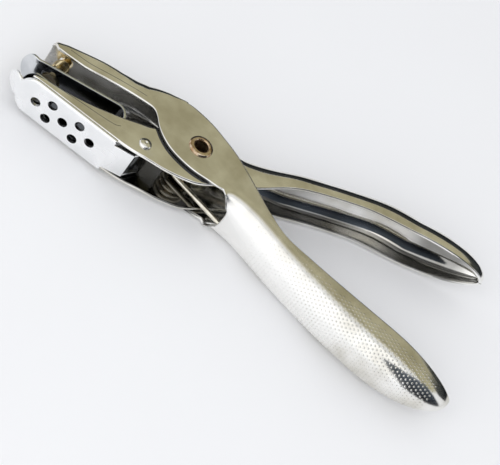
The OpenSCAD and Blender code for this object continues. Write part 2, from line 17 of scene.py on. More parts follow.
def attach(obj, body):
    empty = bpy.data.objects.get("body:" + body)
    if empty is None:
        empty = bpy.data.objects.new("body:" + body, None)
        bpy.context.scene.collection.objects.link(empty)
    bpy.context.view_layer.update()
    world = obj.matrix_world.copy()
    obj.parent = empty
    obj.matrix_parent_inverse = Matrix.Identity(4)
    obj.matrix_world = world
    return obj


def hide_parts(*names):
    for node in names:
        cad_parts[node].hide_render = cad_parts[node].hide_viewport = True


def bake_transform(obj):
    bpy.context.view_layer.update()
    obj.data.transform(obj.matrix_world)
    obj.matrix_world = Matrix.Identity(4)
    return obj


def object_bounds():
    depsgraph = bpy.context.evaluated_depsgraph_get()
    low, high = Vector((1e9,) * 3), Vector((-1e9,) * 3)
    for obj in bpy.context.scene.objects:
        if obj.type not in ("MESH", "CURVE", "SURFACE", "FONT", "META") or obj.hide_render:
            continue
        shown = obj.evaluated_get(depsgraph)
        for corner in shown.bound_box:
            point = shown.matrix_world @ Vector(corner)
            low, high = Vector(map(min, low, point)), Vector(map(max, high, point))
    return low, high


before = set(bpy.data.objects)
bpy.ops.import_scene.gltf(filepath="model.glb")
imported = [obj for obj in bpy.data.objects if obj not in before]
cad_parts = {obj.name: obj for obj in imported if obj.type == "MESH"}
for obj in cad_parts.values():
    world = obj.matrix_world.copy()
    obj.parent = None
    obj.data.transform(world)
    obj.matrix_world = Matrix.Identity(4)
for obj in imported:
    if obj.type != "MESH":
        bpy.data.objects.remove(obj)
cad_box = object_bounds()
MM = 0.001

# Sheet and strip, and the radius on the edges of levers, strip, tray and pin
SHEET_T, STRIP_T = 1.0, 0.8
EDGE_R, STRIP_EDGE_R, TRAY_EDGE_R, PIN_EDGE_R = 0.43, 0.26, 0.12, 0.05

# Half widths of the nested walls, and what sets each in from the one outside it
SIDE_GAP, STRIP_FIT, GUIDE_INSET, TRAY_INSET, NOSE_TAPER, JAW_STEP = 0.15, 0.05, 0.7, 0.15, 0.7, 0.3
UPPER_HALF = 7.0
PIVOT_HALF = UPPER_HALF - SHEET_T - SIDE_GAP
JAW_HALF = PIVOT_HALF + JAW_STEP
NOSE_HALF = UPPER_HALF - NOSE_TAPER
STRIP_HALF = JAW_HALF - SHEET_T - STRIP_FIT
GUIDE_HALF = STRIP_HALF - GUIDE_INSET
TRAY_HALF = JAW_HALF - TRAY_INSET

# Radii of rivets, pin, stem and bush, and the clearance round each
RIVET_R, HINGE_R, PIN_R, STEM_R, BUSH_R = 2.3, 1.0, 2.2, 1.3, 3.5
RIVET_FIT, HINGE_FIT, PIN_FIT, STEM_PLAY, BUSH_FIT = 0.04, 0.04, 0.05, 0.5, 0.02

# Stations along the punch
PIN_X = -39.0
NOSE_AHEAD, JAW_AHEAD = 4.8, 3.0
NOSE_X, JAW_TIP_X = PIN_X - NOSE_AHEAD, PIN_X - JAW_AHEAD
HINGE_X, HINGE_Y = -11.0, -9.8
JAW_LOW, JAW_WEB_X, JAW_R = -14.2, -9.0, 1.8
UPPER_REACH, LOWER_REACH, TIP_LEN = 86.0, 78.5, 22.0
UPPER_TIP_X, LOWER_TIP_X = UPPER_REACH - TIP_LEN, LOWER_REACH - TIP_LEN

# Outside these radii from the pivot the lower lever steps out to its jaw and splays to its grip
JAW_STEP_R, JAW_STEP_LEN = 12.4, 4.0
SPLAY_R, SPLAY_LEN = 19.0, 11.0
# How a grip closes in depth towards its tip, and the radius of its corners where its back starts
TIP_DEPTH_POWER, WEB_START_R = 0.75, 0.9

# Side outlines of the levers, and how far the upper jaw's sides stand out from the nose
UPPER_TOP = [
    (NOSE_X, 0.9), (PIN_X - 1.5, 1.8), (-32, 4.4), (-26, 5.7), (-20.5, 7.9), (-17, 9.1), (-12.5, 9.8),
    (-7.5, 9.8), (-2, 9.2), (2, 8.1), (8.8, 5.5), (18.1, 0.1), (23.1, -3), (28.7, -5.8), (34, -6.8),
    (UPPER_TIP_X, -8.8), (UPPER_REACH, -10),
]
UPPER_LOW = [
    (NOSE_X, -0.2), (NOSE_X + 0.8, -0.65), (PIN_X - 3, -1.6), (PIN_X - 1, -2), (PIN_X + 1, -2),
    (-33.7, -1.8), (-27.8, -0.5), (-22, 0.5), (-16, 1), (-14.2, 0.5), (-12.6, -1), (-11.2, -2.8),
    (-8.8, -4.8), (-5.8, -6.4), (-1.7, -7.4), (2.5, -7.7), (7, -7.3), (9.5, -7.5), (14.8, -8.6),
    (20.3, -10.1), (30.7, -13.4), (40.8, -15.9), (50.6, -17.8), (60, -19.1), (UPPER_TIP_X, -19.4),
]
UPPER_WIDTH = [
    (NOSE_X, -2.1), (NOSE_X + 0.6, -0.75), (NOSE_X + 1.6, -0.4), (NOSE_X + 3.4, 0), (-24, 0.3),
    (-14, NOSE_TAPER),
]
LOWER_TOP = [
    (JAW_TIP_X, JAW_LOW + 0.35), (-37.6, -12.5), (-32.7, -11.7), (-27.5, -10.3), (-23.2, -8.8), (-19, -7.1),
    (-14.9, -5.1), (-12, -3.4), (-8, -0.2), (-4, 3.2), (0, 6), (5, 8.2), (10.5, 9.6), (17.6, 13.6),
    (27.2, 18.9), (36.9, 24), (46.9, 28.5), (LOWER_TIP_X, 30.7),
]
LOWER_LOW = [
    (JAW_TIP_X, JAW_LOW), (-16, JAW_LOW), (-11.6, -13.8), (-7, -12.9), (-2.2, -11.9), (2.3, -10.4),
    (5.2, -8.9), (11.7, -3), (16.7, 1.5), (22.6, 7.4), (29.2, 11.9), (38.5, 16.9), (45, 19.7),
    (LOWER_TIP_X, 22.9), (LOWER_REACH, 29.5),
]


def curve(points, x):
    """Height of the smooth curve through the points, at one x or many."""
    p = np.array(points, float)
    x = np.clip(np.asarray(x, float), p[0, 0], p[-1, 0])
    before, after = np.maximum(np.arange(len(p)) - 1, 0), np.minimum(np.arange(len(p)) + 1, len(p) - 1)
    slope = (p[after, 1] - p[before, 1]) / (p[after, 0] - p[before, 0])
    i = np.clip(np.searchsorted(p[:, 0], x, side="right") - 1, 0, len(p) - 2)
    h = p[i + 1, 0] - p[i, 0]
    t = (x - p[i, 0]) / h
    u = 1 - t
    return (p[i, 1] * (1 + 2 * t) * u * u + p[i + 1, 1] * t * t * (3 - 2 * t)
            + h * t * u * (slope[i] * u - slope[i + 1] * t))


def rise(v, start, length):
    """Climbs smoothly from 0 to 1 as v passes from start over a length."""
    t = np.clip((v - start) / length, 0, 1)
    return t * t * (3 - 2 * t)


def oval(cx, cy, rx, ry, degrees):
    """Points on an ellipse at some angles."""
    return [(cx + rx * math.cos(math.radians(a)), cy + ry * math.sin(math.radians(a))) for a in degrees]


def upper_half(x, y):
    return NOSE_HALF + curve(UPPER_WIDTH, x)


def lower_half(x, y):
    r = np.hypot(x, y)
    step = JAW_STEP * rise(r, JAW_STEP_R, JAW_STEP_LEN)
    splay = (UPPER_HALF - PIVOT_HALF) * rise(r, SPLAY_R, SPLAY_LEN)
    return PIVOT_HALF + np.where(x < 0, step, splay)


class Lever(SimpleNamespace):
    """A lever's outline. Its rim runs on to the end of the grip, where the far side closes onto it. Along the
    far side lies the grip's back, which starts in an arch with small corners that open out over a length."""

    def left(self, x, inset):
        """What is left of the grip's full size at x, from 1 where its tip starts to 0 at its end."""
        t = np.clip((x - self.tip_x) / (self.reach - inset - self.tip_x), 0, 1)
        return np.sqrt(1 - t * t)

    def heights(self, x, inset_top, inset_low):
        """Top and bottom at x, inset from the outside."""
        inset_rim, inset_far = (inset_top, inset_low) if self.side > 0 else (inset_low, inset_top)
        depth = self.side * (curve(self.rim, self.tip_x) - curve(self.far, self.tip_x)) - inset_far
        closing = curve(self.rim, x) - self.side * depth * self.left(x, inset_far) ** TIP_DEPTH_POWER
        far = np.where(x < self.tip_x, curve(self.far, x) + self.side * inset_far, closing)
        rim = curve(self.rim, x) - self.side * inset_rim
        return (rim, far) if self.side > 0 else (far, rim)

    def wid(self, x, y, inset):
        return (self.half(x, y) - inset) * self.left(x, inset) ** self.tip_power

    def grip(self, x):
        """The row of a section through the grip."""
        left = 1 - min(max((x - self.web_x) / self.open_len, 0), 1)
        r = WEB_START_R + (self.grip_r - WEB_START_R) * math.sqrt(1 - left * left)
        top, bottom = self.webs
        return (x, top, bottom, r * top, r * bottom, self.arch * (1 - rise(1 - left, 0, 1)))

    def tip(self, degrees):
        """The row of a section through the tip."""
        x = self.tip_x + (self.reach - self.tip_x) * math.sin(math.radians(degrees))
        return (x, *self.webs, self.grip_r, self.grip_r, 0)


UPPER = Lever(side=1, rim=UPPER_TOP, far=UPPER_LOW, webs=(0, 1), half=upper_half, tip_x=UPPER_TIP_X,
              reach=UPPER_REACH, web_x=14.8, grip_r=6.2, open_len=15, arch=4.3, tip_power=1.5, spread=1.1)
LOWER = Lever(side=-1, rim=LOWER_LOW, far=LOWER_TOP, webs=(1, 0), half=lower_half, tip_x=LOWER_TIP_X,
              reach=LOWER_REACH, web_x=7.0, grip_r=5.5, open_len=12, arch=2.0, tip_power=1.2, spread=1.24)

# Points round a section: near wall, top corner, top web, top corner, far wall, and the same along the bottom
WALL_STEPS, CORNER_STEPS, WEB_STEPS = 26, 7, 12
STEPS = 2 * (WALL_STEPS, CORNER_STEPS, WEB_STEPS, CORNER_STEPS)
GROUP = np.concatenate([np.full(n, k) for k, n in enumerate(STEPS)])
SHARE = np.concatenate([np.arange(n) / n for n in STEPS])
# Along the walls the points crowd towards the edges, where shearing has rolled the sheet over a little
WALL = GROUP % 4 == 0
WALL_SHARE = np.clip((SHARE * WALL_STEPS - 1) / (WALL_STEPS - 2), 0, 1)
WALL_CROWDED = 0.5 * WALL_SHARE + 0.25 * (1 - np.cos(np.pi * WALL_SHARE))
EDGE_ROOM, MOST_EDGE_ROOM = 0.6, 1 / 6
ROLL_DEPTH, ROLL_LEN = 0.05, 1.6
# How far each point is from the middle of its web, from 0 to 1 at the foot of the corner
CORNER_SHARE = 0.2
WEB_OFF = (1 - CORNER_SHARE) * np.abs(1 - 2 * SHARE)
OFF_MIDDLE = np.choose(GROUP, 2 * [np.ones(len(SHARE)), 1 - CORNER_SHARE * SHARE, WEB_OFF,
                                   1 - CORNER_SHARE * (1 - SHARE)])
# Least radius of a corner, and the share of a section's height and half width that it may take
LEAST_R, CORNER_HEIGHT, CORNER_WIDTH = 0.2, 0.95, 0.98


def section(row, lever, inset):
    """One ring of points. A row is x, top web, bottom web, top radius, bottom radius, arch."""
    x_row, top, bottom, r_top, r_bottom, arch = row
    f = SHARE
    x = x_row - arch * OFF_MIDDLE ** 3
    tip_scale = (lever.reach - inset - lever.tip_x) / (lever.reach - lever.tip_x)
    x = np.where(x <= lever.tip_x, x, lever.tip_x + (x - lever.tip_x) * tip_scale)
    h, low = lever.heights(x, inset * top, inset * bottom)
    fit = lever.left(x, inset)
    rt, rb = (web * np.minimum(np.maximum(r - inset, LEAST_R) * fit, (h - low) * CORNER_HEIGHT)
              for web, r in ((top, r_top), (bottom, r_bottom)))
    sn, cs = np.sin(np.pi / 2 * f), np.cos(np.pi / 2 * f)
    wall_low, wall_high = low + rb, h - rt
    wall = np.maximum(wall_high - wall_low, 1e-6)
    gap = np.minimum(EDGE_ROOM / wall, MOST_EDGE_ROOM)
    f = np.where(WALL, np.where(f > 0, gap + (1 - 2 * gap) * WALL_CROWDED, 0), f)
    y = np.choose(GROUP, [wall_low + wall * f, wall_high + rt * sn, h, wall_high + rt * cs,
                          wall_high - wall * f, wall_low - rb * sn, low, wall_low - rb * cs])
    w = lever.wid(x, y, inset)
    if inset == 0:
        near_top, near_bottom = (1 - rise(d, 0, ROLL_LEN) for d in (h - y, y - low))
        w = w - ROLL_DEPTH * ((1 - top) * near_top + (1 - bottom) * near_bottom)
    ct, cb = (np.minimum(r * lever.spread, CORNER_WIDTH * w) for r in (rt, rb))
    wt, wb = w - ct, w - cb
    z = np.choose(GROUP, [w, wt + ct * cs, wt * (1 - 2 * f), -wt - ct * sn,
                          -w, -wb - cb * cs, -wb * (1 - 2 * f), wb + cb * sn])
    return np.stack([x, y, z], 1)


# Most space between the rings of a lever, and the angles of those over a grip's tip
RING_STEP = 0.8
TIP_ANGLES = (4, 8, 12, 16, 20, 25, 30, 34, 38, 42, 46, 50, 54, 58, 61, 64, 67, 70, 73, 76, 78.5, 81, 83, 85,
              86.5, 88)
# The jaw's top corners open out in the dip before the pivot and tighten to the end of the web
DIP_X, DIP_LEN, DIP_R = -20.0, 4.5, 2.0
JAW_END_R, JAW_END_SLOPE = 0.35, 0.4
# Behind the pivot the rings start to lean towards the arch
PIVOT_ARCH = 0.15


def finer_rows(rows):
    """Rows with more between them, and for each gap whether it has a top and a bottom web."""
    out, webs = [], []
    for a, b in zip(rows[:-1], rows[1:]):
        a, b = np.array(a, float), np.array(b, float)
        n = max(1, math.ceil(abs(b[0] - a[0]) / RING_STEP))
        out += [a + (b - a) * i / n for i in range(n)]
        webs += [(a[1] * b[1] > 0, a[2] * b[2] > 0)] * n
    out.append(np.array(rows[-1], float))
    webs.append((rows[-1][1] > 0, rows[-1][2] > 0))
    return out, webs


def jaw_corner(x):
    dip = DIP_R * math.exp(-((x - DIP_X) / DIP_LEN) ** 2)
    return min(JAW_R + dip, JAW_END_R + JAW_END_SLOPE * (JAW_WEB_X - x))


def upper_rows():
    nose = [NOSE_X + d for d in (0, 0.3, 0.6, 1.1, 1.6, 3.4)]
    jaw = nose + [-37, -34, -31, -28, -25, -22, -19, -16, -14, -12.5, -11, JAW_WEB_X]
    grip = [UPPER.web_x, 15.6, 16.4, 17.2, 18, 19, 20.5, 22, 24, 26, 28, 30, 34, 39, 44, 49, 54, 59]
    rows = [(x, 1, 0, jaw_corner(x), 0, 0) for x in jaw]
    rows += [(x, 0, 0, 0, 0, PIVOT_ARCH * max(x, 0)) for x in (-7, -4, -1, 2, 5, 8.5)]
    return rows + [UPPER.grip(x) for x in grip + [UPPER_TIP_X]] + [UPPER.tip(a) for a in TIP_ANGLES]


def lower_rows():
    jaw = [JAW_TIP_X, -39.5, -37, -34, -31, -28, -25, -22, -19, -16, -13.5, -12, -10, -7, -4, -1, 2]
    grip = [LOWER.web_x, 7.8, 8.6, 9.4, 10.2, 11.5, 13.5, 15.5, 17, 19, 23, 26, 30, 35, 40, 45, 50, 55]
    rows = [(x, 0, 0, 0, 0, 0) for x in jaw]
    return rows + [LOWER.grip(x) for x in grip + [LOWER_TIP_X]] + [LOWER.tip(a) for a in TIP_ANGLES]


# Meshes

# Points closer than this are one, in metres
MERGE = 1e-7
BORE_SIDES, TURNED_SIDES = 48, 64
# Edges that turn more than this are rounded
SHARP = math.radians(50)
# Share of the room beside an edge that its rounding may take, between two rims and elsewhere
BETWEEN_RIMS, BESIDE_RIM = 0.45, 0.85
# Radii over which a rounding fades out at a tip, and how many it may throw a point off its sheet
TIP_FADE, STRAY = 3, 0.6


def put(name, data):
    obj = bpy.data.objects.new(name, data)
    bpy.context.scene.collection.objects.link(obj)
    return obj


def new_piece(name, points, faces, facing=None):
    """A mesh from points in millimetres. Its faces turn outwards, and those of an open sheet to one side."""
    mesh = bpy.data.meshes.new(name)
    mesh.from_pydata([tuple(p) for p in np.asarray(points, float) * MM], [], faces)
    bm = bmesh.new()
    bm.from_mesh(mesh)
    bmesh.ops.remove_doubles(bm, verts=bm.verts, dist=MERGE)
    bmesh.ops.dissolve_degenerate(bm, dist=MERGE, edges=bm.edges)
    bm.normal_update()
    if facing is None:
        bmesh.ops.recalc_face_normals(bm, faces=bm.faces)
        inside_out = bm.calc_volume(signed=True) < 0
    else:
        inside_out = sum(f.normal.dot(Vector(facing)) * f.calc_area() for f in bm.faces) < 0
    if inside_out:
        bmesh.ops.reverse_faces(bm, faces=bm.faces)
    for f in bm.faces:
        f.smooth = True
    bm.to_mesh(mesh)
    bm.free()
    return put(name, mesh)


def settle(obj):
    """Turns an object with modifiers into a plain mesh."""
    bpy.context.view_layer.update()
    mesh = bpy.data.meshes.new_from_object(obj.evaluated_get(bpy.context.evaluated_depsgraph_get()))
    old = obj.data
    obj.modifiers.clear()
    obj.data = mesh
    mesh.name = obj.name
    bpy.data.meshes.remove(old)


def drop(objects):
    for o in objects:
        mesh = o.data
        bpy.data.objects.remove(o)
        bpy.data.meshes.remove(mesh)


def join(target, *others):
    """Puts the meshes of the others into the target."""
    bm = bmesh.new()
    bm.from_mesh(target.data)
    for o in others:
        bm.from_mesh(o.data)
    bm.to_mesh(target.data)
    bm.free()
    drop(others)


def grid_faces(n, m, loop_rows=False, loop_points=False):
    """Faces between n rows of m points, closed from the last row or point to the first where asked."""
    return [[i * m + j, i * m + (j + 1) % m, (i + 1) % n * m + (j + 1) % m, (i + 1) % n * m + j]
            for i in range(n if loop_rows else n - 1) for j in range(m if loop_points else m - 1)]


def bent_sheet(name, rows, lever):
    """A lever as one bent sheet of even thickness, closed at its grip's tip."""
    rows, webs = finer_rows(rows)
    n, m = len(rows), len(GROUP)
    tip_y = curve(lever.rim, lever.reach)
    tips = np.array([[lever.reach, tip_y, 0], [lever.reach - SHEET_T, tip_y, 0]])
    points = np.concatenate([section(r, lever, inset) for inset in (0, SHEET_T) for r in rows] + [tips])

    def at(i, j, s):
        return 2 * n * m + s if i == n else s * n * m + i * m + j % m

    def solid(i, j):
        if i < 0 or i >= n:
            return False
        k = GROUP[j % m]
        return k in (0, 4) or webs[i][0 if k < 4 else 1]

    faces = []
    for i in range(n):
        for j in range(m):
            if not solid(i, j):
                continue
            corners = ((i, j), (i, j + 1), (i + 1, j + 1), (i + 1, j))
            a, b, c, d = (at(*p, 0) for p in corners)
            e, f, g, h = (at(*p, 1) for p in corners)
            faces += [[a, b, c, d], [e, h, g, f]]
            if not solid(i, j - 1):
                faces.append([a, d, h, e])
            if not solid(i, j + 1):
                faces.append([b, f, g, c])
            if not solid(i - 1, j):
                faces.append([a, e, f, b])
            if i < n - 1 and not solid(i + 1, j):
                faces.append([d, c, g, h])
    faces = [list(dict.fromkeys(f)) for f in faces]
    return new_piece(name, points, [f for f in faces if len(f) > 2])


def bar(start, end, r):
    """A round bar between two points, used to cut a bore."""
    start, end = Vector(start), Vector(end)
    length = (end - start).length
    bm = bmesh.new()
    bmesh.ops.create_cone(bm, cap_ends=True, segments=BORE_SIDES, radius1=r, radius2=r, depth=length)
    turn = (end - start).to_track_quat("Z", "Y").to_matrix().to_4x4()
    bm.transform(Matrix.Scale(MM, 4) @ Matrix.Translation((start + end) / 2) @ turn)
    mesh = bpy.data.meshes.new("bore")
    bm.to_mesh(mesh)
    bm.free()
    return put("bore", mesh)


def modify(obj, kind, **settings):
    mod = obj.modifiers.new(kind.lower(), kind)
    for key, value in settings.items():
        setattr(mod, key, value)


def round_edges(obj, width, angle=SHARP):
    modify(obj, "BEVEL", width=width * MM, segments=2, limit_method="ANGLE", angle_limit=angle)


def round_sheared_edges(obj, radius, tip_x):
    """Rounds a sheet's sharp edges as far as the faces beside them leave room, and less near its tip."""
    radius = radius * MM
    bm = bmesh.new()
    bm.from_mesh(obj.data)
    share = bm.edges.layers.float.new("bevel_weight_edge")
    sharp = {e for e in bm.edges if len(e.link_faces) == 2 and e.calc_face_angle() > SHARP}
    rims = {v for e in sharp for v in e.verts}
    for e in sharp:
        along = (e.verts[1].co - e.verts[0].co).normalized()
        beside = [(b.other_vert(v), v) for v in e.verts for b in v.link_edges if b not in sharp]
        room = [(b.co - v.co).cross(along).length * (BETWEEN_RIMS if b in rims else BESIDE_RIM)
                for b, v in beside]
        tip_share = (tip_x * MM - max(v.co.x for v in e.verts)) / (TIP_FADE * radius)
        e[share] = max(0, min(1, min(room, default=radius) / radius, tip_share))
    sheet = BVHTree.FromBMesh(bm)
    bm.to_mesh(obj.data)
    bm.free()
    modify(obj, "BEVEL", width=radius, segments=4, limit_method="WEIGHT", use_clamp_overlap=False)
    settle(obj)
    # Where a rim turns sharply, points that the rounding throws off the sheet come back onto it
    for v in obj.data.vertices:
        nearest, _, _, off = sheet.find_nearest(v.co)
        if off > STRAY * radius:
            v.co = nearest


def cut_bores(obj, cutters):
    for c in cutters:
        modify(obj, "BOOLEAN", operation="DIFFERENCE", object=c, solver="MANIFOLD")


def lever_sheet(name, rows, lever, cutters):
    """A lever with rounded edges and its bores."""
    obj = bent_sheet(name, rows, lever)
    round_sheared_edges(obj, EDGE_R, lever.reach)
    cut_bores(obj, cutters)
    modify(obj, "WEIGHTED_NORMAL", keep_sharp=True, weight=80)
    settle(obj)
    return obj


def turned(name, profile, centre, axis="Z"):
    """A turned piece from a profile of radius and height, about an axis through its centre."""
    points = []
    for a in 2 * math.pi * np.arange(TURNED_SIDES) / TURNED_SIDES:
        for r, h in profile:
            x, y = r * math.cos(a), r * math.sin(a)
            points.append(np.add((x, y, h) if axis == "Z" else (x, h, -y), centre))
    return new_piece(name, points, grid_faces(TURNED_SIDES, len(profile), True, profile[0][0] > 0))


def sheet_grid(name, rows, facing, thick, offset):
    """An open sheet from rows of points, given its thickness."""
    points = [p for row in rows for p in row]
    obj = new_piece(name, points, grid_faces(len(rows), len(rows[0])), facing)
    modify(obj, "SOLIDIFY", thickness=thick * MM, offset=offset, use_even_offset=True)
    return obj


def plates(name, *parts):
    """Flat plates as one mesh, each with an outline in x and y and its two sides in z."""
    points, faces = [], []
    for outline, z0, z1 in parts:
        n, first = len(outline), len(points)
        points += [(x, y, z) for z in (z0, z1) for x, y in outline]
        rings = [range(n), range(n, 2 * n)] + [(i, (i + 1) % n, n + (i + 1) % n, n + i) for i in range(n)]
        faces += [[first + i for i in ring] for ring in rings]
    return new_piece(name, points, faces)


# Finishes


def linear(code):
    """An sRGB hex colour as linear red, green, blue and alpha."""
    parts = [int(code[i:i + 2], 16) / 255 for i in (1, 3, 5)]
    return tuple(c / 12.92 if c <= 0.04045 else ((c + 0.055) / 1.055) ** 2.4 for c in parts) + (1.0,)


def add(tree, kind, settings=None, links=None):
    """Adds a node with its values and its links, from given outputs or from a node's first output."""
    n = tree.nodes.new(kind)
    for key, value in (settings or {}).items():
        if isinstance(key, str) and hasattr(n, key):
            setattr(n, key, value)
        else:
            n.inputs[key].default_value = value
    for key, source in (links or {}).items():
        out = source.outputs[0] if isinstance(source, bpy.types.Node) else source
        tree.links.new(out, n.inputs[key])
    return n


def new_material(name):
    """A material, its empty tree and the place on the object that its patterns start from."""
    mat = bpy.data.materials.new(name)
    mat.use_nodes = True
    mat.node_tree.nodes.clear()
    return mat, mat.node_tree, add(mat.node_tree, "ShaderNodeTexCoord").outputs["Object"]


# Painted shade: the tone that the shaded inside of the punch is darkened towards
PAINTED_SHADE_TONE = "#272a2f"
# Roughness that a fully satin place adds
SATIN_ROUGH = 0.32
# How satin a place is where it starts to be paler, and where it is palest
PALE_FROM, PALE_TO = 0.36, 0.8
# Depth of the waves that pressing leaves, and of the fine streaks
WAVE_DEPTH, STREAK_DEPTH = 0.2, 0.02


def metal(name, dark, light, rough, mottle_mm, wave, streak, stretch):
    """A metal whose colour and gloss drift, with soft waves and with streaks drawn out along an axis, each of
    a size in millimetres and a strength. Real streaks are finer and would not show."""
    mat, t, where = new_material(name)
    mottle = add(t, "ShaderNodeTexNoise", {"Scale": 1 / (mottle_mm * MM), "Detail": 3.0}, {"Vector": where})
    tone = add(t, "ShaderNodeValToRGB", None, {"Fac": mottle})
    for stop, colour, place in zip(tone.color_ramp.elements, (dark, light), (0.35, 0.65)):
        stop.color, stop.position = linear(colour), place
    inside, satin = (add(t, "ShaderNodeAttribute", {"attribute_name": label}).outputs["Fac"]
                     for label in ("inside", "satin"))
    pale = add(t, "ShaderNodeMapRange", {"From Min": PALE_FROM, "From Max": PALE_TO}, {"Value": satin})
    even = add(t, "ShaderNodeMix", {"data_type": "RGBA", 7: linear(light)}, {0: pale, 6: tone})
    # Painted shade: the colour darkens towards the shade tone as far as a point is marked
    shaded = add(t, "ShaderNodeMix", {"data_type": "RGBA", 7: linear(PAINTED_SHADE_TONE)},
                 {0: inside, 6: even.outputs[2]})
    gloss = add(t, "ShaderNodeMapRange", {"From Min": 0.3, "From Max": 0.7, "To Min": rough[0],
                                          "To Max": rough[1]}, {"Value": mottle})
    duller = add(t, "ShaderNodeMath", {"operation": "MULTIPLY_ADD", 1: SATIN_ROUGH}, {0: satin, 2: gloss})
    waves = add(t, "ShaderNodeTexNoise", {"Scale": 1 / (wave[0] * MM), "Detail": 1.0}, {"Vector": where})
    along = add(t, "ShaderNodeMapping", {"Scale": stretch}, {"Vector": where})
    streaks = add(t, "ShaderNodeTexNoise", {"Scale": 1 / (streak[0] * MM), "Detail": 2.0}, {"Vector": along})
    soft = add(t, "ShaderNodeBump", {"Strength": wave[1], "Distance": WAVE_DEPTH * MM}, {"Height": waves})
    fine = add(t, "ShaderNodeBump", {"Strength": streak[1], "Distance": STREAK_DEPTH * MM},
               {"Height": streaks, "Normal": soft})
    shader = add(t, "ShaderNodeBsdfPrincipled", {"Metallic": 1.0},
                 {"Base Color": shaded.outputs[2], "Roughness": duller, "Normal": fine})
    add(t, "ShaderNodeOutputMaterial", None, {"Surface": shader})
    return mat


# Nickel-chrome plate on pressed steel: mirror-like, with slow waves left by the press
PLATED_SHEET = metal("plated_pressed_steel", "#d9d6cd", "#f8f7f4", (0.06, 0.13), mottle_mm=9,
                     wave=(9, 0.16), streak=(0.25, 0.02), stretch=(0.3, 1, 1))
# The same plate on the tray, a little more satin, so it stays pale
PLATED_TRAY = metal("satin_plated_tray", "#f2f3f3", "#fafafa", (0.2, 0.3), mottle_mm=6,
                    wave=(5, 0.04), streak=(0.2, 0.06), stretch=(0.2, 1, 1))
# Plate on the folded strip, bright and a little cooler
PLATED_STRIP = metal("plated_strip", "#c6c9cc", "#dcdee0", (0.07, 0.15), mottle_mm=5,
                     wave=(4, 0.05), streak=(0.2, 0.05), stretch=(0.2, 1, 1))
# Copper-plated eyelet: warm and bright, with dull patches
COPPER_EYELET = metal("copper_eyelet", "#a88a69", "#e6d5bd", (0.08, 0.18), mottle_mm=1.2,
                      wave=(1.5, 0.1), streak=(0.12, 0.1), stretch=(1, 1, 0.3))
# Case-hardened pin, bright with a straw tint
STRAW_PIN = metal("straw_tinted_pin", "#d2b578", "#f4e6bf", (0.12, 0.2), mottle_mm=1.5,
                  wave=(2, 0.06), streak=(0.12, 0.08), stretch=(1, 0.2, 1))
# Drawn spring wire: soft sheen with lengthwise die lines
DRAWN_WIRE = metal("drawn_wire", "#cdc6b5", "#f0ebdd", (0.26, 0.36), mottle_mm=2,
                   wave=(3, 0.05), streak=(0.1, 0.12), stretch=(0.1, 0.5, 1))
# Ground, hardened steel of the die: grey and matt
GROUND_STEEL = metal("ground_steel", "#77787a", "#9b9c9e", (0.2, 0.32), mottle_mm=1.5,
                     wave=(2, 0.05), streak=(0.1, 0.12), stretch=(1, 0.2, 1))


def mark(obj, name, rule):
    """Marks how much painted shade each point takes, or how satin it is, from its place and its outward
    direction.
    """
    values = [float(rule(*(v.co / MM), v.normal)) for v in obj.data.vertices]
    obj.data.attributes.new(name, "FLOAT", "POINT").data.foreach_set("value", values)


def dress(obj, mat, body, slot, *nodes):
    obj.data.materials.clear()
    obj.data.materials.append(mat)
    for f in obj.data.polygons:
        f.material_index = 0
    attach(obj, body)
    if nodes:
        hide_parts(*nodes)


# Levers

# The flat of a web, inside its corners
WEB_HALF = UPPER_HALF - JAW_R
CUT_HALF = 9
pivot_cut = bar((0, 0, -CUT_HALF), (0, 0, CUT_HALF), RIVET_R + RIVET_FIT)
hinge_cut = bar((HINGE_X, HINGE_Y, -CUT_HALF), (HINGE_X, HINGE_Y, CUT_HALF), HINGE_R + HINGE_FIT)
stem_cut = bar((PIN_X, -1, 0), (PIN_X, 6, 0), STEM_R + STEM_PLAY)


def faces_in(n, z):
    """How far a wall's point faces the middle plane, from 0 to 1."""
    return rise(-n.z * math.copysign(1, z), 0.45, 0.45)


def upper_painted_shade(x, y, z, n):
    """Painted shade: the inside is darkened from the nose to the start of the grip, most of all round the
    pivot.
    """
    web = (abs(z) < WEB_HALF) * rise(-n.y if x < 0 else n.y, 0.2, 0.6)
    above_rim = rise(y - curve(UPPER_LOW, x), 0.35, 0.4) if x < 0 else 1
    deep = rise(x, -41, 4) * (0.3 + 0.3 * rise(x, -18, 4)) * (1 - rise(x, 12, 10))
    # Painted shadow: the sheared edge over the lower lever's wall is darkened as the gap's shadow
    gap_edge = -0.99 < n.z * math.copysign(1, z) < 0.45 and n.y < 0.3 and y < 2
    gap_shadow = 0.97 * gap_edge * rise(x, -17, 2) * (1 - rise(x, 6, 4))
    return max(above_rim * max(faces_in(n, z), web) * deep, gap_shadow)


def upper_satin(x, y, z, n):
    """The grip is brushed satin and shines towards its tip, and the jaw is dull inside."""
    web = rise(x, 7, 5) * (1 - rise(abs(n.z), 0.6, 0.38))
    wall = 0.45 * rise(x, 4, 16) * (1 - faces_in(n, z))
    grip = max(web, wall) * (1 - rise(n.y, 0.3, 0.5)) * (0.8 - 0.55 * rise(x, 48, 14))
    jaw = (x < JAW_WEB_X) * max(faces_in(n, z), rise(-n.y, 0.2, 0.6))
    return max(grip, 0.5 * jaw)


def lower_painted_shade(x, y, z, n):
    """Painted shade: the jaw is darkened inside, and so is the channel, except in the middle of its length.
    """
    wall = faces_in(n, z)
    web = (abs(z) < WEB_HALF) * rise(-n.y, 0.2, 0.6)
    jaw = 0.7 * wall * (1 - rise(x, 8, 12))
    in_grip = rise(x, 16, 6) * (1 - rise(x, 70, 6))
    wall_shade = 0.62 * wall * (1 - math.exp(-((x - 49) / 6) ** 2))
    web_shade = web * (0.45 * (1 - rise(x, 24, 12)) + 0.6 * rise(x, 54, 8))
    return max(jaw, in_grip * max(wall_shade, web_shade))


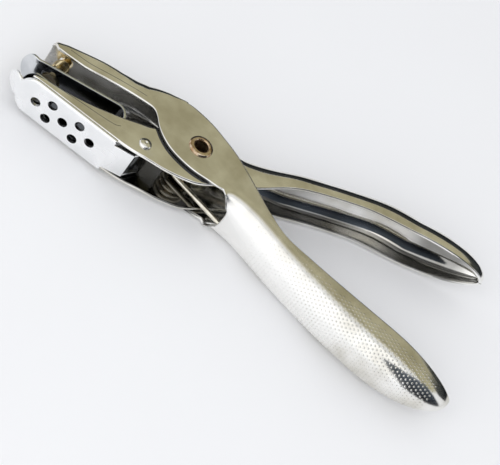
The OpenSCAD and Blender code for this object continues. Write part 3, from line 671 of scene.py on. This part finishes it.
upper = lever_sheet("upper_lever_sheet", upper_rows(), UPPER, [pivot_cut, stem_cut])
mark(upper, "inside", upper_painted_shade)
mark(upper, "satin", upper_satin)
dress(upper, PLATED_SHEET, "upper", "plated_sheet", "upper_lever")

lower = lever_sheet("lower_lever_sheet", lower_rows(), LOWER, [pivot_cut, hinge_cut])
mark(lower, "inside", lower_painted_shade)
dress(lower, PLATED_SHEET, "lower", "plated_sheet", "lower_lever")

drop([pivot_cut, hinge_cut, stem_cut])


# Dots on the upper grip

DOT_PITCH, DOT_R, DOT_H = 1.05, 0.27, 0.08
DOTS_FROM, DOTS_TO, DOTS_BELOW_RIM, DOTS_EACH_SIDE = 24.0, 82.0, 2.4, 20
# The dots grow from a share of their size to the whole of it
DOT_LEAST, DOTS_FULL = 0.4, 58.0
# A small step that gives directions on the surface, and a depth under the rim that is inside the grip
PROBE, GRIP_INSIDE = 0.05, 3


def dot_places():
    """Staggered places over the grip's back, each with its outward direction and share of the full size."""
    places, outward, shares = [], [], []
    step = DOT_PITCH * math.sqrt(3) / 2
    order = np.concatenate([np.where(GROUP >= 4)[0], np.where(GROUP == 0)[0]])
    for i in range(int((DOTS_TO - DOTS_FROM) / step)):
        x = DOTS_FROM + i * step
        ring, ahead = (section(UPPER.grip(v), UPPER, 0)[order] for v in (x, x + PROBE))
        run = np.concatenate([[0], np.cumsum(np.linalg.norm(np.diff(ring, axis=0), axis=1))])
        run = run - run[-1] / 2
        rim = curve(UPPER_TOP, x)
        share = DOT_LEAST + (1 - DOT_LEAST) * rise(x, DOTS_FROM, DOTS_FULL - DOTS_FROM)
        for k in range(-DOTS_EACH_SIDE, DOTS_EACH_SIDE + 1):
            at = (k + 0.5 * (i % 2)) * DOT_PITCH
            here, after, ahead_here = (np.array([np.interp(v, run, r[:, c]) for c in range(3)])
                                       for v, r in ((at, ring), (at + PROBE, ring), (at, ahead)))
            if abs(at) < run[-1] and here[1] < rim - DOTS_BELOW_RIM:
                normal = np.cross(after - here, ahead_here - here)
                normal = normal / np.linalg.norm(normal)
                faces_out = np.dot(normal, here - (x, rim - GRIP_INSIDE, 0)) > 0
                places.append(here)
                outward.append(normal if faces_out else -normal)
                shares.append(share)
    return places, outward, shares


def new_tree(name, inputs, output):
    """A geometry tree with named inputs and one geometry output."""
    tree = bpy.data.node_groups.new(name, "GeometryNodeTree")
    for label, kind in inputs:
        tree.interface.new_socket(label, in_out="INPUT", socket_type="NodeSocket" + kind)
    tree.interface.new_socket(output, in_out="OUTPUT", socket_type="NodeSocketGeometry")
    return tree, add(tree, "NodeGroupInput").outputs


def end_tree(tree, geometry, finish, output):
    """Ends a tree with real geometry of one finish."""
    real = add(tree, "GeometryNodeRealizeInstances", None, {"Geometry": geometry})
    done = add(tree, "GeometryNodeSetMaterial", None, {"Geometry": real, "Material": finish})
    add(tree, "NodeGroupOutput", None, {output: done})
    return tree


def dots_tree():
    inputs = (("Places", "Geometry"), ("Radius", "Float"), ("Height", "Float"), ("Finish", "Material"))
    tree, given = new_tree("grip_dots", inputs, "Dots")
    full = add(tree, "ShaderNodeCombineXYZ", None,
               {"X": given["Radius"], "Y": given["Radius"], "Z": given["Height"]})
    share = add(tree, "GeometryNodeInputNamedAttribute", {"data_type": "FLOAT", "Name": "share"})
    size = add(tree, "ShaderNodeVectorMath", {"operation": "SCALE"}, {"Vector": full, "Scale": share})
    dome = add(tree, "GeometryNodeMeshUVSphere", {"Segments": 8, "Rings": 6, "Radius": 1.0})
    way = add(tree, "GeometryNodeInputNamedAttribute", {"data_type": "FLOAT_VECTOR", "Name": "outward"})
    turn = add(tree, "FunctionNodeAlignRotationToVector", {"axis": "Z"}, {"Vector": way})
    dots = add(tree, "GeometryNodeInstanceOnPoints", None,
               {"Points": given["Places"], "Instance": dome, "Rotation": turn, "Scale": size})
    return end_tree(tree, dots, given["Finish"], "Dots")


def use_tree(obj, tree, **values):
    """Adds the tree to an object, with its inputs set by their identifiers."""
    mod = obj.modifiers.new(tree.name, "NODES")
    mod.node_group = tree
    for item in tree.interface.items_tree:
        key = item.name.replace(" ", "_").lower()
        if item.in_out == "INPUT" and key in values:
            mod[item.identifier] = values[key]


places, outward, shares = dot_places()
dots = new_piece("grip_dots", places, [])
marks = dots.data.attributes.new("outward", "FLOAT_VECTOR", "POINT")
marks.data.foreach_set("vector", np.array(outward, np.float32).ravel())
dots.data.attributes.new("share", "FLOAT", "POINT").data.foreach_set("value", shares)
use_tree(dots, dots_tree(), radius=DOT_R * MM, height=DOT_H * MM, finish=PLATED_SHEET)
settle(dots)
for face in dots.data.polygons:
    face.use_smooth = True
dress(dots, PLATED_SHEET, "upper", "plated_sheet")


# Fine lines left by the press along the jaw walls

# How far a wire's end is rounded, along it and across
END_LEN, END_SHARE = 0.2, 0.72
LINE_R, LINE_SUNK, LINE_SIDES, LINE_STEPS = 0.11, 0.075, 8, 60
LINE_ABOVE_RIM, LINE_FROM, LINE_TO = 1.8, PIN_X - 0.5, -18
LOWER_LINE = [(-38.4, -12.9), (-29.6, -11.9), (-23.7, -11.4), (-19.5, -10.8), (-18.2, -10)]


def wire_mesh(name, path, r, sides=14):
    """A round wire along a path, with slightly rounded ends."""
    path = np.array(path)
    along = np.gradient(path, axis=0)
    along /= np.linalg.norm(along, axis=1)[:, None]
    up = np.array([0, 0, 1.0]) - along * along[:, 2:3]
    up /= np.linalg.norm(up, axis=1)[:, None]
    out = np.cross(along, up)
    turn = 2 * np.pi * np.arange(sides)[:, None] / sides
    rings = [path[i] + r * (np.cos(turn) * out[i] + np.sin(turn) * up[i]) for i in range(len(path))]
    first, last = (path[end] + (rings[end] - path[end]) * END_SHARE for end in (0, -1))
    rings[0] = rings[0] + along[0] * END_LEN
    rings[-1] = rings[-1] - along[-1] * END_LEN
    rings = [first] + rings + [last]
    n = len(rings)
    caps = [list(range(sides)), list(range((n - 1) * sides, n * sides))]
    return new_piece(name, np.concatenate(rings), grid_faces(n, sides, loop_points=True) + caps)


def press_lines(name, line, lever, body):
    """A hair-thin bead along both walls of a lever."""
    near, far = (wire_mesh(name, [(x, y, side * (lever.wid(x, y, 0) - LINE_SUNK)) for x, y in line],
                           LINE_R, LINE_SIDES) for side in (1, -1))
    join(near, far)
    # Painted shade: the lines are darkened as the shade in their creases
    mark(near, "inside", lambda x, y, z, n: 0.8)
    dress(near, PLATED_SHEET, body, "plated_sheet")


upper_line = [(x, curve(UPPER_LOW, x) + LINE_ABOVE_RIM) for x in np.linspace(LINE_FROM, LINE_TO, LINE_STEPS)]
lower_line = [(x, curve(LOWER_LINE, x)) for x in np.linspace(LOWER_LINE[0][0], LOWER_LINE[-1][0], LINE_STEPS)]
press_lines("upper_press_lines", upper_line, UPPER, "upper")
press_lines("lower_press_lines", lower_line, LOWER, "lower")


# Pivot eyelet

BORE_R, FLANGE_R, FLANGE_T, FLANGE_GAP = 1.8, 3.2, 0.6, 0.05
# The sheet turns sharply at the bore and slopes down to the flange's edge
CREST_R = BORE_R + 0.4
flange_z = UPPER_HALF + FLANGE_GAP
rolled = oval(CREST_R, flange_z, BORE_R - CREST_R, FLANGE_T, range(0, 90, 10))
rolled += oval(CREST_R, flange_z, FLANGE_R - CREST_R, FLANGE_T, range(90, -1, -9))
rolled += [(RIVET_R, flange_z)]
eyelet = turned("rolled_eyelet", rolled + [(r, -h) for r, h in reversed(rolled)], (0, 0, 0))
mark(eyelet, "satin", lambda x, y, z, n: 0.5 * (math.hypot(x, y) < BORE_R + 0.15 and abs(n.z) < 0.7))
dress(eyelet, COPPER_EYELET, "lower", "eyelet", "pivot_rivet")


# Tray hinge pin

HEAD_R, HEAD_H, HEAD_GAP = 1.65, 0.7, 0.03
head_z = JAW_HALF + HEAD_GAP
# A head spread by a pointed punch: a dome with a small hollow in its middle
HOLLOW = [(0.55, HEAD_H), (0.35, 0.55), (0.15, 0.42), (0, 0.4)]
head = [(HINGE_R, JAW_HALF - SHEET_T), (HINGE_R, head_z), (HEAD_R, head_z)]
head += oval(0, head_z, HEAD_R, HEAD_H, range(15, 66, 10)) + [(r, head_z + h) for r, h in HOLLOW]
hinge_pin = turned("spread_hinge_pin", [(r, -h) for r, h in reversed(head)] + head, (HINGE_X, HINGE_Y, 0))
# Painted shade: between the walls the pin is darkened, and its heads are dull
mark(hinge_pin, "inside", lambda x, y, z, n: 0.9 * (abs(z) < JAW_HALF))
mark(hinge_pin, "satin", lambda x, y, z, n: 0.36)
dress(hinge_pin, PLATED_SHEET, "lower", "hinge_pin", "tray_hinge_pin")


# Punch pin

GUIDE_DROP, GUIDE_SLOPE = 6.3, math.radians(11.5)
# The pin's end stands out of its guide, and its middle is ground hollow
TIP_OUT = 0.1
TIP_HOLLOW = [(0, 0.6), (1.0, 0.45), (PIN_R - 0.12, 0), (PIN_R, 0.1)]
# The dome under the stem, the bead over it and the head
DOME_LOW, DOME_H, DOME_STEP = 0.9, 1.3, 0.1
BEAD_R, BEAD_UP, BEAD_H, NECK_UP = 1.58, 0.6, 0.2, 0.42
PIN_HEAD_R, PIN_HEAD_H, HEAD_RIM, HEAD_CHAMFER = 2.3, 1.1, 0.25, 0.08
SHOULDER_DROP, HEAD_RISE = 2.05, 1.75


def guide_y(x):
    return -GUIDE_DROP + math.tan(GUIDE_SLOPE) * (x - PIN_X)


jaw_mid = curve(UPPER_TOP, PIN_X) - SHEET_T / 2
pin_tip = guide_y(PIN_X - PIN_R) - STRIP_T / 2 / math.cos(GUIDE_SLOPE) - TIP_OUT
shoulder, pin_head = jaw_mid - SHOULDER_DROP, jaw_mid + HEAD_RISE
neck = STEM_R + DOME_STEP
profile = [(r, pin_tip + h) for r, h in TIP_HOLLOW] + [(PIN_R, shoulder - DOME_LOW)]
profile += oval(neck, shoulder - DOME_LOW, PIN_R - neck, DOME_H, range(9, 82, 9))
profile += [(neck, shoulder + NECK_UP)]
profile += oval(STEM_R, shoulder + BEAD_UP, BEAD_R - STEM_R, BEAD_H, range(-75, 91, 15))
profile += [(STEM_R, pin_head), (PIN_HEAD_R - HEAD_CHAMFER, pin_head), (PIN_HEAD_R, pin_head + HEAD_CHAMFER)]
profile += oval(0, pin_head + HEAD_RIM, PIN_HEAD_R, PIN_HEAD_H - HEAD_RIM, range(0, 91, 9))
pin = turned("punch_pin_turned", profile, (PIN_X, 0, 0), "Y")
round_edges(pin, PIN_EDGE_R, math.radians(35))
settle(pin)
# Painted shade: the pin's hollow end under the guide is darkened
mark(pin, "inside", lambda x, y, z, n: 0.85 * (y < pin_tip + 0.8 and n.y < -0.3))
dress(pin, STRAW_PIN, "punch", "pin", "punch_pin")


# Return spring

WIRE_R, COIL_R, COIL_TURNS, COIL_PITCH, LEG_LEN = 0.65, 3.5, 3, 1.95, 25.0
LEG_DOWN, LEG_UP = math.radians(-12.8), math.radians(20.5)
COIL_STEPS, LEG_STEPS, LEG_FIRST = 150, 26, 0.02
sweep = math.pi - (LEG_UP - LEG_DOWN) + 2 * math.pi * COIL_TURNS
coil_len = COIL_PITCH * sweep / (2 * math.pi)


def coil_point(t):
    a = LEG_DOWN - math.pi / 2 - sweep * t
    return np.array([COIL_R * math.cos(a), COIL_R * math.sin(a), coil_len * (t - 0.5)])


def leg(start, angle):
    way = np.array([math.cos(angle), math.sin(angle), 0])
    return [start + way * LEG_LEN * f for f in np.linspace(LEG_FIRST, 1, LEG_STEPS)]


coil = [coil_point(t) for t in np.linspace(0, 1, COIL_STEPS)]
spring = wire_mesh("wound_spring", leg(coil[0], LEG_DOWN)[::-1] + coil + leg(coil[-1], LEG_UP), WIRE_R)
spring.data.materials.append(DRAWN_WIRE)
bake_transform(spring)
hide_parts("return_spring")


# Throat strip

LIP_X, LIP_LEN, LIP_ROUND, GUIDE_FROM_X = PIN_X - 8.3, 4.6, 2.9, -42.0
LIP_FLARE = [(0, 1.8), (1.5, 1.05), (2.7, 0.35), (3.6, 0), (5, 0)]
DIE_Y, DIE_FRONT_X, DIE_FRONT_LEN, DIE_ROUND = -11.6, PIN_X - 5.2, 3.2, 3.0
STRIP_BACK_X, HAIRPIN_X, WIDEN_LEN = -18.6, -21.8, 1.5
SKIRT_FROM, SKIRT_TO, SKIRT_LOW = PIN_X + 4.3, HAIRPIN_X - 1, JAW_LOW + 0.6
die_mid = DIE_Y - STRIP_T / 2
hairpin_ry = (guide_y(HAIRPIN_X) - die_mid) / 2


def oval_half(x, front, length, half):
    """Half width of a leaf whose front is rounded off over a length."""
    t = min(max(1 - (x - front) / length, 0), 1)
    return half * math.sqrt(max(1 - t * t, 0.0004))


# The strip's middle line and half width: lip, guide leaf, hairpin and die leaf
lip = LIP_X + LIP_LEN * (1 - np.cos(np.linspace(0, math.pi / 2, 20)))
path = []
for x in np.concatenate([lip, np.arange(GUIDE_FROM_X, HAIRPIN_X, 1.0)]):
    flare = curve(LIP_FLARE, x - LIP_X)
    path.append((x, guide_y(x) + flare, oval_half(x, LIP_X, LIP_ROUND, GUIDE_HALF)))
bend = oval(HAIRPIN_X, die_mid + hairpin_ry, STRIP_BACK_X - HAIRPIN_X, hairpin_ry, range(84, -85, -7))
path += [(x, y, GUIDE_HALF) for x, y in bend]
die_front = DIE_FRONT_X + DIE_FRONT_LEN * (1 - np.sin(np.linspace(0, math.pi / 2, 12)))
for x in np.concatenate([np.arange(HAIRPIN_X, DIE_FRONT_X + DIE_FRONT_LEN, -1.0), die_front]):
    half = GUIDE_HALF + (STRIP_HALF - GUIDE_HALF) * rise(HAIRPIN_X - x, 0, WIDEN_LEN)
    path.append((x, die_mid, oval_half(x, DIE_FRONT_X, DIE_ROUND, half)))
rows = [[(x, y, half * f) for f in np.linspace(-1, 1, 9)] for x, y, half in path]
strip = sheet_grid("folded_strip", rows, (0, 1, 0), STRIP_T, 0)
pin_cut = bar((PIN_X, -9, 0), (PIN_X, -3, 0), PIN_R + PIN_FIT)
bush_cut = bar((PIN_X, -13.5, 0), (PIN_X, -10.6, 0), BUSH_R + BUSH_FIT)
settle(strip)
# The rounding doesn't fade, because the strip has no closed tip
round_sheared_edges(strip, STRIP_EDGE_R, STRIP_BACK_X + 5)
cut_bores(strip, [pin_cut, bush_cut])
settle(strip)
skirt = [(SKIRT_FROM, SKIRT_LOW), (SKIRT_TO, SKIRT_LOW), (SKIRT_TO, die_mid), (SKIRT_FROM, die_mid)]
skirts = [(skirt, side * STRIP_HALF, side * (STRIP_HALF - STRIP_T)) for side in (-1, 1)]
join(strip, plates("skirts", *skirts))
drop([pin_cut, bush_cut])


def strip_painted_shade(x, y, z, n):
    """Painted shade: the faces of the throat darken behind the lip, and so does the underside of the die
    leaf.
    """
    throat = (n.y < -0.4 and y > die_mid + 1) or (n.y > 0.4 and y < die_mid + 1.2)
    under_die = n.y < -0.4 and y < die_mid
    return 0.85 * (under_die or throat * rise(x, LIP_X + 3, 3))


mark(strip, "inside", strip_painted_shade)
dress(strip, PLATED_STRIP, "lower", "strip", "throat_strip")


# Chip tray

TRAY_LOW, TRAY_RIM, TRAY_STEP = -15.2, 0.85, 1.5
TRAY_FRONT_X, TRAY_OVAL, TRAY_BACK_X, TAIL_BACK_X = PIN_X - 5.1, 4.5, -16.5, -11.1
TAB_H, TAB_SLOPE, TAB_HALF, BEND_R = 2.8, math.radians(40), 4.2, 0.9
TAB_POINTED, LEAN_LEN, LEAN_FOOT = 1.2, 1.2, 0.15
TAIL_HALF, TAIL_RISE, EAR_R = 4.4, 1.5, 2.3
HOLE_R, HOLE_PITCH, HOLE_ROW, HOLES_X = 1.35, 8.1, 2.6, PIN_X + 9


def tray_side(x, z, nx, nz):
    """From the floor's edge round the bend to the rim, which leans out as a finger tab at the front."""
    near = abs(z) * TAB_POINTED
    tab = TAB_H - TAB_HALF + math.sqrt(max(TAB_HALF ** 2 - near ** 2, 0)) if nx < -0.2 else 0
    height = max(tab, TRAY_RIM)
    lean = rise(height, TRAY_RIM, LEAN_LEN)
    out = lean * height / math.tan(TAB_SLOPE)
    floor_edge, corner, rim = (-BEND_R, 0), (LEAN_FOOT * lean, 0), (out, height)
    line = []
    for t in np.linspace(0, 1, 9):
        d, h = ((1 - t) ** 2 * floor_edge[k] + 2 * t * (1 - t) * corner[k] + t * t * rim[k] for k in (0, 1))
        line.append((x + nx * d, TRAY_LOW + h, z + nz * d))
    return line


# Places along the tray's edge with their outward directions: round its front and along its straight side
stations = []
for a in np.radians(np.linspace(0, 90, 31)):
    c, s = math.cos(a), math.sin(a)
    stations.append((TRAY_FRONT_X + TRAY_OVAL * (1 - c), TRAY_HALF * s, -c / TRAY_OVAL, s / TRAY_HALF))
straight = np.arange(TRAY_FRONT_X + TRAY_OVAL + TRAY_STEP, TRAY_BACK_X, TRAY_STEP)
stations += [(x, TRAY_HALF, 0, 1) for x in [*straight, TRAY_BACK_X]]
rows = []
for x, z, nx, nz in stations:
    size = math.hypot(nx, nz)
    side = tray_side(x, z, nx / size, nz / size)
    across_floor = [(side[0][0], TRAY_LOW, side[0][2] * f) for f in np.linspace(-0.85, 0.85, 9)]
    rows.append([(p[0], p[1], -p[2]) for p in reversed(side)] + across_floor + side)
tray = sheet_grid("pressed_tray", rows, (0, -1, 0), STRIP_T, -1)


def holes_tree():
    inputs = (("Tray", "Geometry"), ("Hole Radius", "Float"), ("Pitch", "Vector"), ("Long Row", "Vector"),
              ("Near Row", "Vector"), ("Far Row", "Vector"), ("Depth", "Float"), ("Finish", "Material"))
    tree, given = new_tree("tray_holes", inputs, "Tray")
    spots = add(tree, "GeometryNodeJoinGeometry")
    for row, count in (("Long Row", 3), ("Near Row", 2), ("Far Row", 2)):
        line = add(tree, "GeometryNodeMeshLine", {"Count": count},
                   {"Start Location": given[row], "Offset": given["Pitch"]})
        tree.links.new(line.outputs["Mesh"], spots.inputs["Geometry"])
    drill = add(tree, "GeometryNodeMeshCylinder", {"Vertices": 40},
                {"Radius": given["Hole Radius"], "Depth": given["Depth"]})
    drills = add(tree, "GeometryNodeInstanceOnPoints", {"Rotation": (math.pi / 2, 0, 0)},
                 {"Points": spots, "Instance": drill})
    cutters = add(tree, "GeometryNodeRealizeInstances", None, {"Geometry": drills})
    cut = add(tree, "GeometryNodeMeshBoolean", {"operation": "DIFFERENCE", "solver": "EXACT"},
              {"Mesh 1": given["Tray"], "Mesh 2": cutters})
    return end_tree(tree, cut, given["Finish"], "Tray")


short_row_x = (HOLES_X - HOLE_PITCH / 2) * MM
use_tree(tray, holes_tree(), hole_radius=HOLE_R * MM, pitch=(HOLE_PITCH * MM, 0, 0), depth=3 * STRIP_T * MM,
         long_row=((HOLES_X - HOLE_PITCH) * MM, TRAY_LOW * MM, 0), finish=PLATED_TRAY,
         near_row=(short_row_x, TRAY_LOW * MM, HOLE_ROW * MM),
         far_row=(short_row_x, TRAY_LOW * MM, -HOLE_ROW * MM))
round_edges(tray, TRAY_EDGE_R)
settle(tray)
# The tail starts inside the floor's thickness
tail = [(TRAY_BACK_X - 0.8, TRAY_LOW + 0.2), (TRAY_BACK_X - 0.3, TRAY_LOW + 0.03),
        (TAIL_BACK_X, TRAY_LOW + TAIL_RISE), (TAIL_BACK_X, TRAY_LOW + TAIL_RISE + STRIP_T),
        (TRAY_BACK_X - 0.3, TRAY_LOW + STRIP_T - 0.03), (TRAY_BACK_X - 0.8, TRAY_LOW + STRIP_T - 0.2)]
ear = oval(HINGE_X, HINGE_Y, EAR_R, EAR_R, np.linspace(0, 180, 17))
ear += [(TRAY_BACK_X, TRAY_LOW + STRIP_T / 2), (TAIL_BACK_X, TRAY_LOW + TAIL_RISE + STRIP_T / 2)]
ears = [(ear, side * TAIL_HALF, side * (TAIL_HALF - STRIP_T)) for side in (-1, 1)]
tail_piece = plates("tray_tail", (tail, -TAIL_HALF, TAIL_HALF), *ears)
round_edges(tail_piece, TRAY_EDGE_R)
settle(tail_piece)
join(tray, tail_piece)


def tray_painted_shade(x, y, z, n):
    """Painted shade: the floor's upper side is darkened, and so are the tail's and the ears on it."""
    floor_shaded = n.y > 0.4 and y < TRAY_LOW + 1.2 and x > TRAY_FRONT_X + 0.5
    tail_shaded = x > TRAY_BACK_X and n.y > 0.4
    tail_top = TRAY_LOW + STRIP_T + TAIL_RISE * (x - TRAY_BACK_X) / (TAIL_BACK_X - TRAY_BACK_X)
    return 0.9 * (floor_shaded or tail_shaded or (x > TRAY_BACK_X + 0.1 and y > tail_top + 0.05))


mark(tray, "inside", tray_painted_shade)
dress(tray, PLATED_TRAY, "tray", "tray", "chip_tray")

# The die bush keeps its solid
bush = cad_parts["die_bush"]
bush.data.materials.clear()
bush.data.materials.append(GROUND_STEEL)


# Camera

AZ, EL, ROLL = (math.radians(v) for v in (-3.0, 46.5, 39.8))
VIEW_MM, PX_PER_MM, SENSOR_MM = 500.0, 4.1, 36.0
# The picture's size, and where the middle of the pivot's near face lands in it
PICTURE_PX, PIVOT_PX = (500, 465), (201, 147)
turn = Matrix.Rotation(AZ, 4, "Z") @ Matrix.Rotation(math.pi / 2 - EL, 4, "X") @ Matrix.Rotation(ROLL, 4, "Z")
across, down = ((PIVOT_PX[k] - PICTURE_PX[k] / 2) / PX_PER_MM for k in (0, 1))
spot = Vector((0, 0, UPPER_HALF)) + turn @ Vector((-across, down, VIEW_MM))
camera = put("camera", bpy.data.cameras.new("camera"))
camera.matrix_world = Matrix.Translation(spot * MM) @ turn
camera.data.sensor_width = SENSOR_MM
camera.data.lens = SENSOR_MM * PX_PER_MM * VIEW_MM / PICTURE_PX[0]
camera.data.clip_start, camera.data.clip_end = 0.01, 20
bpy.context.scene.camera = camera
bpy.context.scene.view_settings.view_transform = "Standard"


# Light and table, with sizes in metres

CARD_AIM, LAMP_AIM = (0.02, 0.01, 0), (0.02, 0, 0)
# How far the patches on a card shift its shading
DRIFT = 0.4


def panel(name, centre, towards, width, height):
    """A flat stage panel that faces a point."""
    mesh = bpy.data.meshes.new(name)
    w, h = width / 2, height / 2
    mesh.from_pydata([(-w, -h, 0), (w, -h, 0), (w, h, 0), (-w, h, 0)], [], [(0, 1, 2, 3)])
    turn = (Vector(towards) - Vector(centre)).to_track_quat("Z", "Y").to_matrix().to_4x4()
    mesh.transform(Matrix.Translation(centre) @ turn)
    obj = put(name, mesh)
    return obj


def glow(name, tones, along, start, end, strength, patches):
    """Light that is shaded from one tone to the next along a direction."""
    mat, t, where = new_material(name)
    drift = add(t, "ShaderNodeTexNoise", {"Scale": patches, "Detail": 2.0}, {"Vector": where})
    run = add(t, "ShaderNodeVectorMath", {"operation": "DOT_PRODUCT", 1: along}, {0: where})
    loose = add(t, "ShaderNodeMath", {"operation": "MULTIPLY_ADD", 1: DRIFT * (end - start)},
                {0: drift, 2: run.outputs["Value"]})
    share = add(t, "ShaderNodeMapRange", {"From Min": start, "From Max": end}, {"Value": loose})
    ramp = add(t, "ShaderNodeValToRGB", None, {"Fac": share})
    for k, tone in enumerate(tones):
        stop = ramp.color_ramp.elements[k] if k < 2 else ramp.color_ramp.elements.new(1)
        stop.position, stop.color = k / (len(tones) - 1), linear(tone)
    light = add(t, "ShaderNodeEmission", {"Strength": strength}, {"Color": ramp})
    add(t, "ShaderNodeOutputMaterial", None, {"Surface": light})
    return mat


def card(name, centre, width, height, tones, along, start, end, strength=1.0, patches=4.0):
    """A card that shows in the metal only."""
    obj = panel(name, centre, CARD_AIM, width, height)
    obj.data.materials.append(glow(name, tones, along, start, end, strength, patches))
    obj.visible_camera = obj.visible_diffuse = obj.visible_shadow = False


card("warm_ceiling", (0.0, 0.5, 0.93), 2.6, 1.0, ("#f4f4f2", "#d9d5c4", "#958f72", "#b3ae91", "#aca78b"),
     (0, 1, 0), 0.1, 0.85, patches=8.0)
card("white_sky", (0.0, -0.95, 0.6), 3.4, 2.3, ("#e9eff8", "#ffffff", "#ffffff"), (0, 0, 1), 0.0, 1.0,
     strength=1.2)
card("dark_room", (0.0, 1.05, 0.32), 2.8, 0.74, ("#0c0e12", "#1b1e23", "#3b3d3c"), (0, 0, 1), 0.0, 0.7)
card("dark_side", (0.7, -0.42, 0.46), 1.35, 0.95, ("#0a0c10", "#1d222a", "#4a525c"), (0, 0, 1), 0.1, 0.95)


def pale_table():
    """Matt painted board, almost even in tone."""
    mat, t, where = new_material("pale_table")
    grain = add(t, "ShaderNodeTexNoise", {"Scale": 12.0, "Detail": 2.0}, {"Vector": where})
    pale = add(t, "ShaderNodeValToRGB", None, {"Fac": grain})
    for stop, tone in zip(pale.color_ramp.elements, ("#efeff1", "#f2f3f5")):
        stop.color = linear(tone)
    skin = add(t, "ShaderNodeBsdfPrincipled", {"Roughness": 0.6}, {"Base Color": pale})
    add(t, "ShaderNodeOutputMaterial", None, {"Surface": skin})
    return mat


floor = panel("table", (0, 0, cad_box[0].z), (0, 0, 1), 6, 6)
floor.data.materials.append(pale_table())

world = bpy.data.worlds.new("studio")
world.use_nodes = True
sky = world.node_tree.nodes["Background"].inputs
sky["Color"].default_value, sky["Strength"].default_value = linear("#f4f5f7"), 0.9
bpy.context.scene.world = world

light = bpy.data.lights.new("window_light", "AREA")
light.shape, light.size, light.size_y, light.energy = "RECTANGLE", 1.5, 1.1, 7.0
lamp = put("window_light", light)
lamp.location = (-0.15, -0.95, 0.72)
lamp.rotation_euler = (Vector(LAMP_AIM) - lamp.location).to_track_quat("-Z", "Y").to_euler()
lamp.visible_glossy = False

bpy.context.view_layer.update()
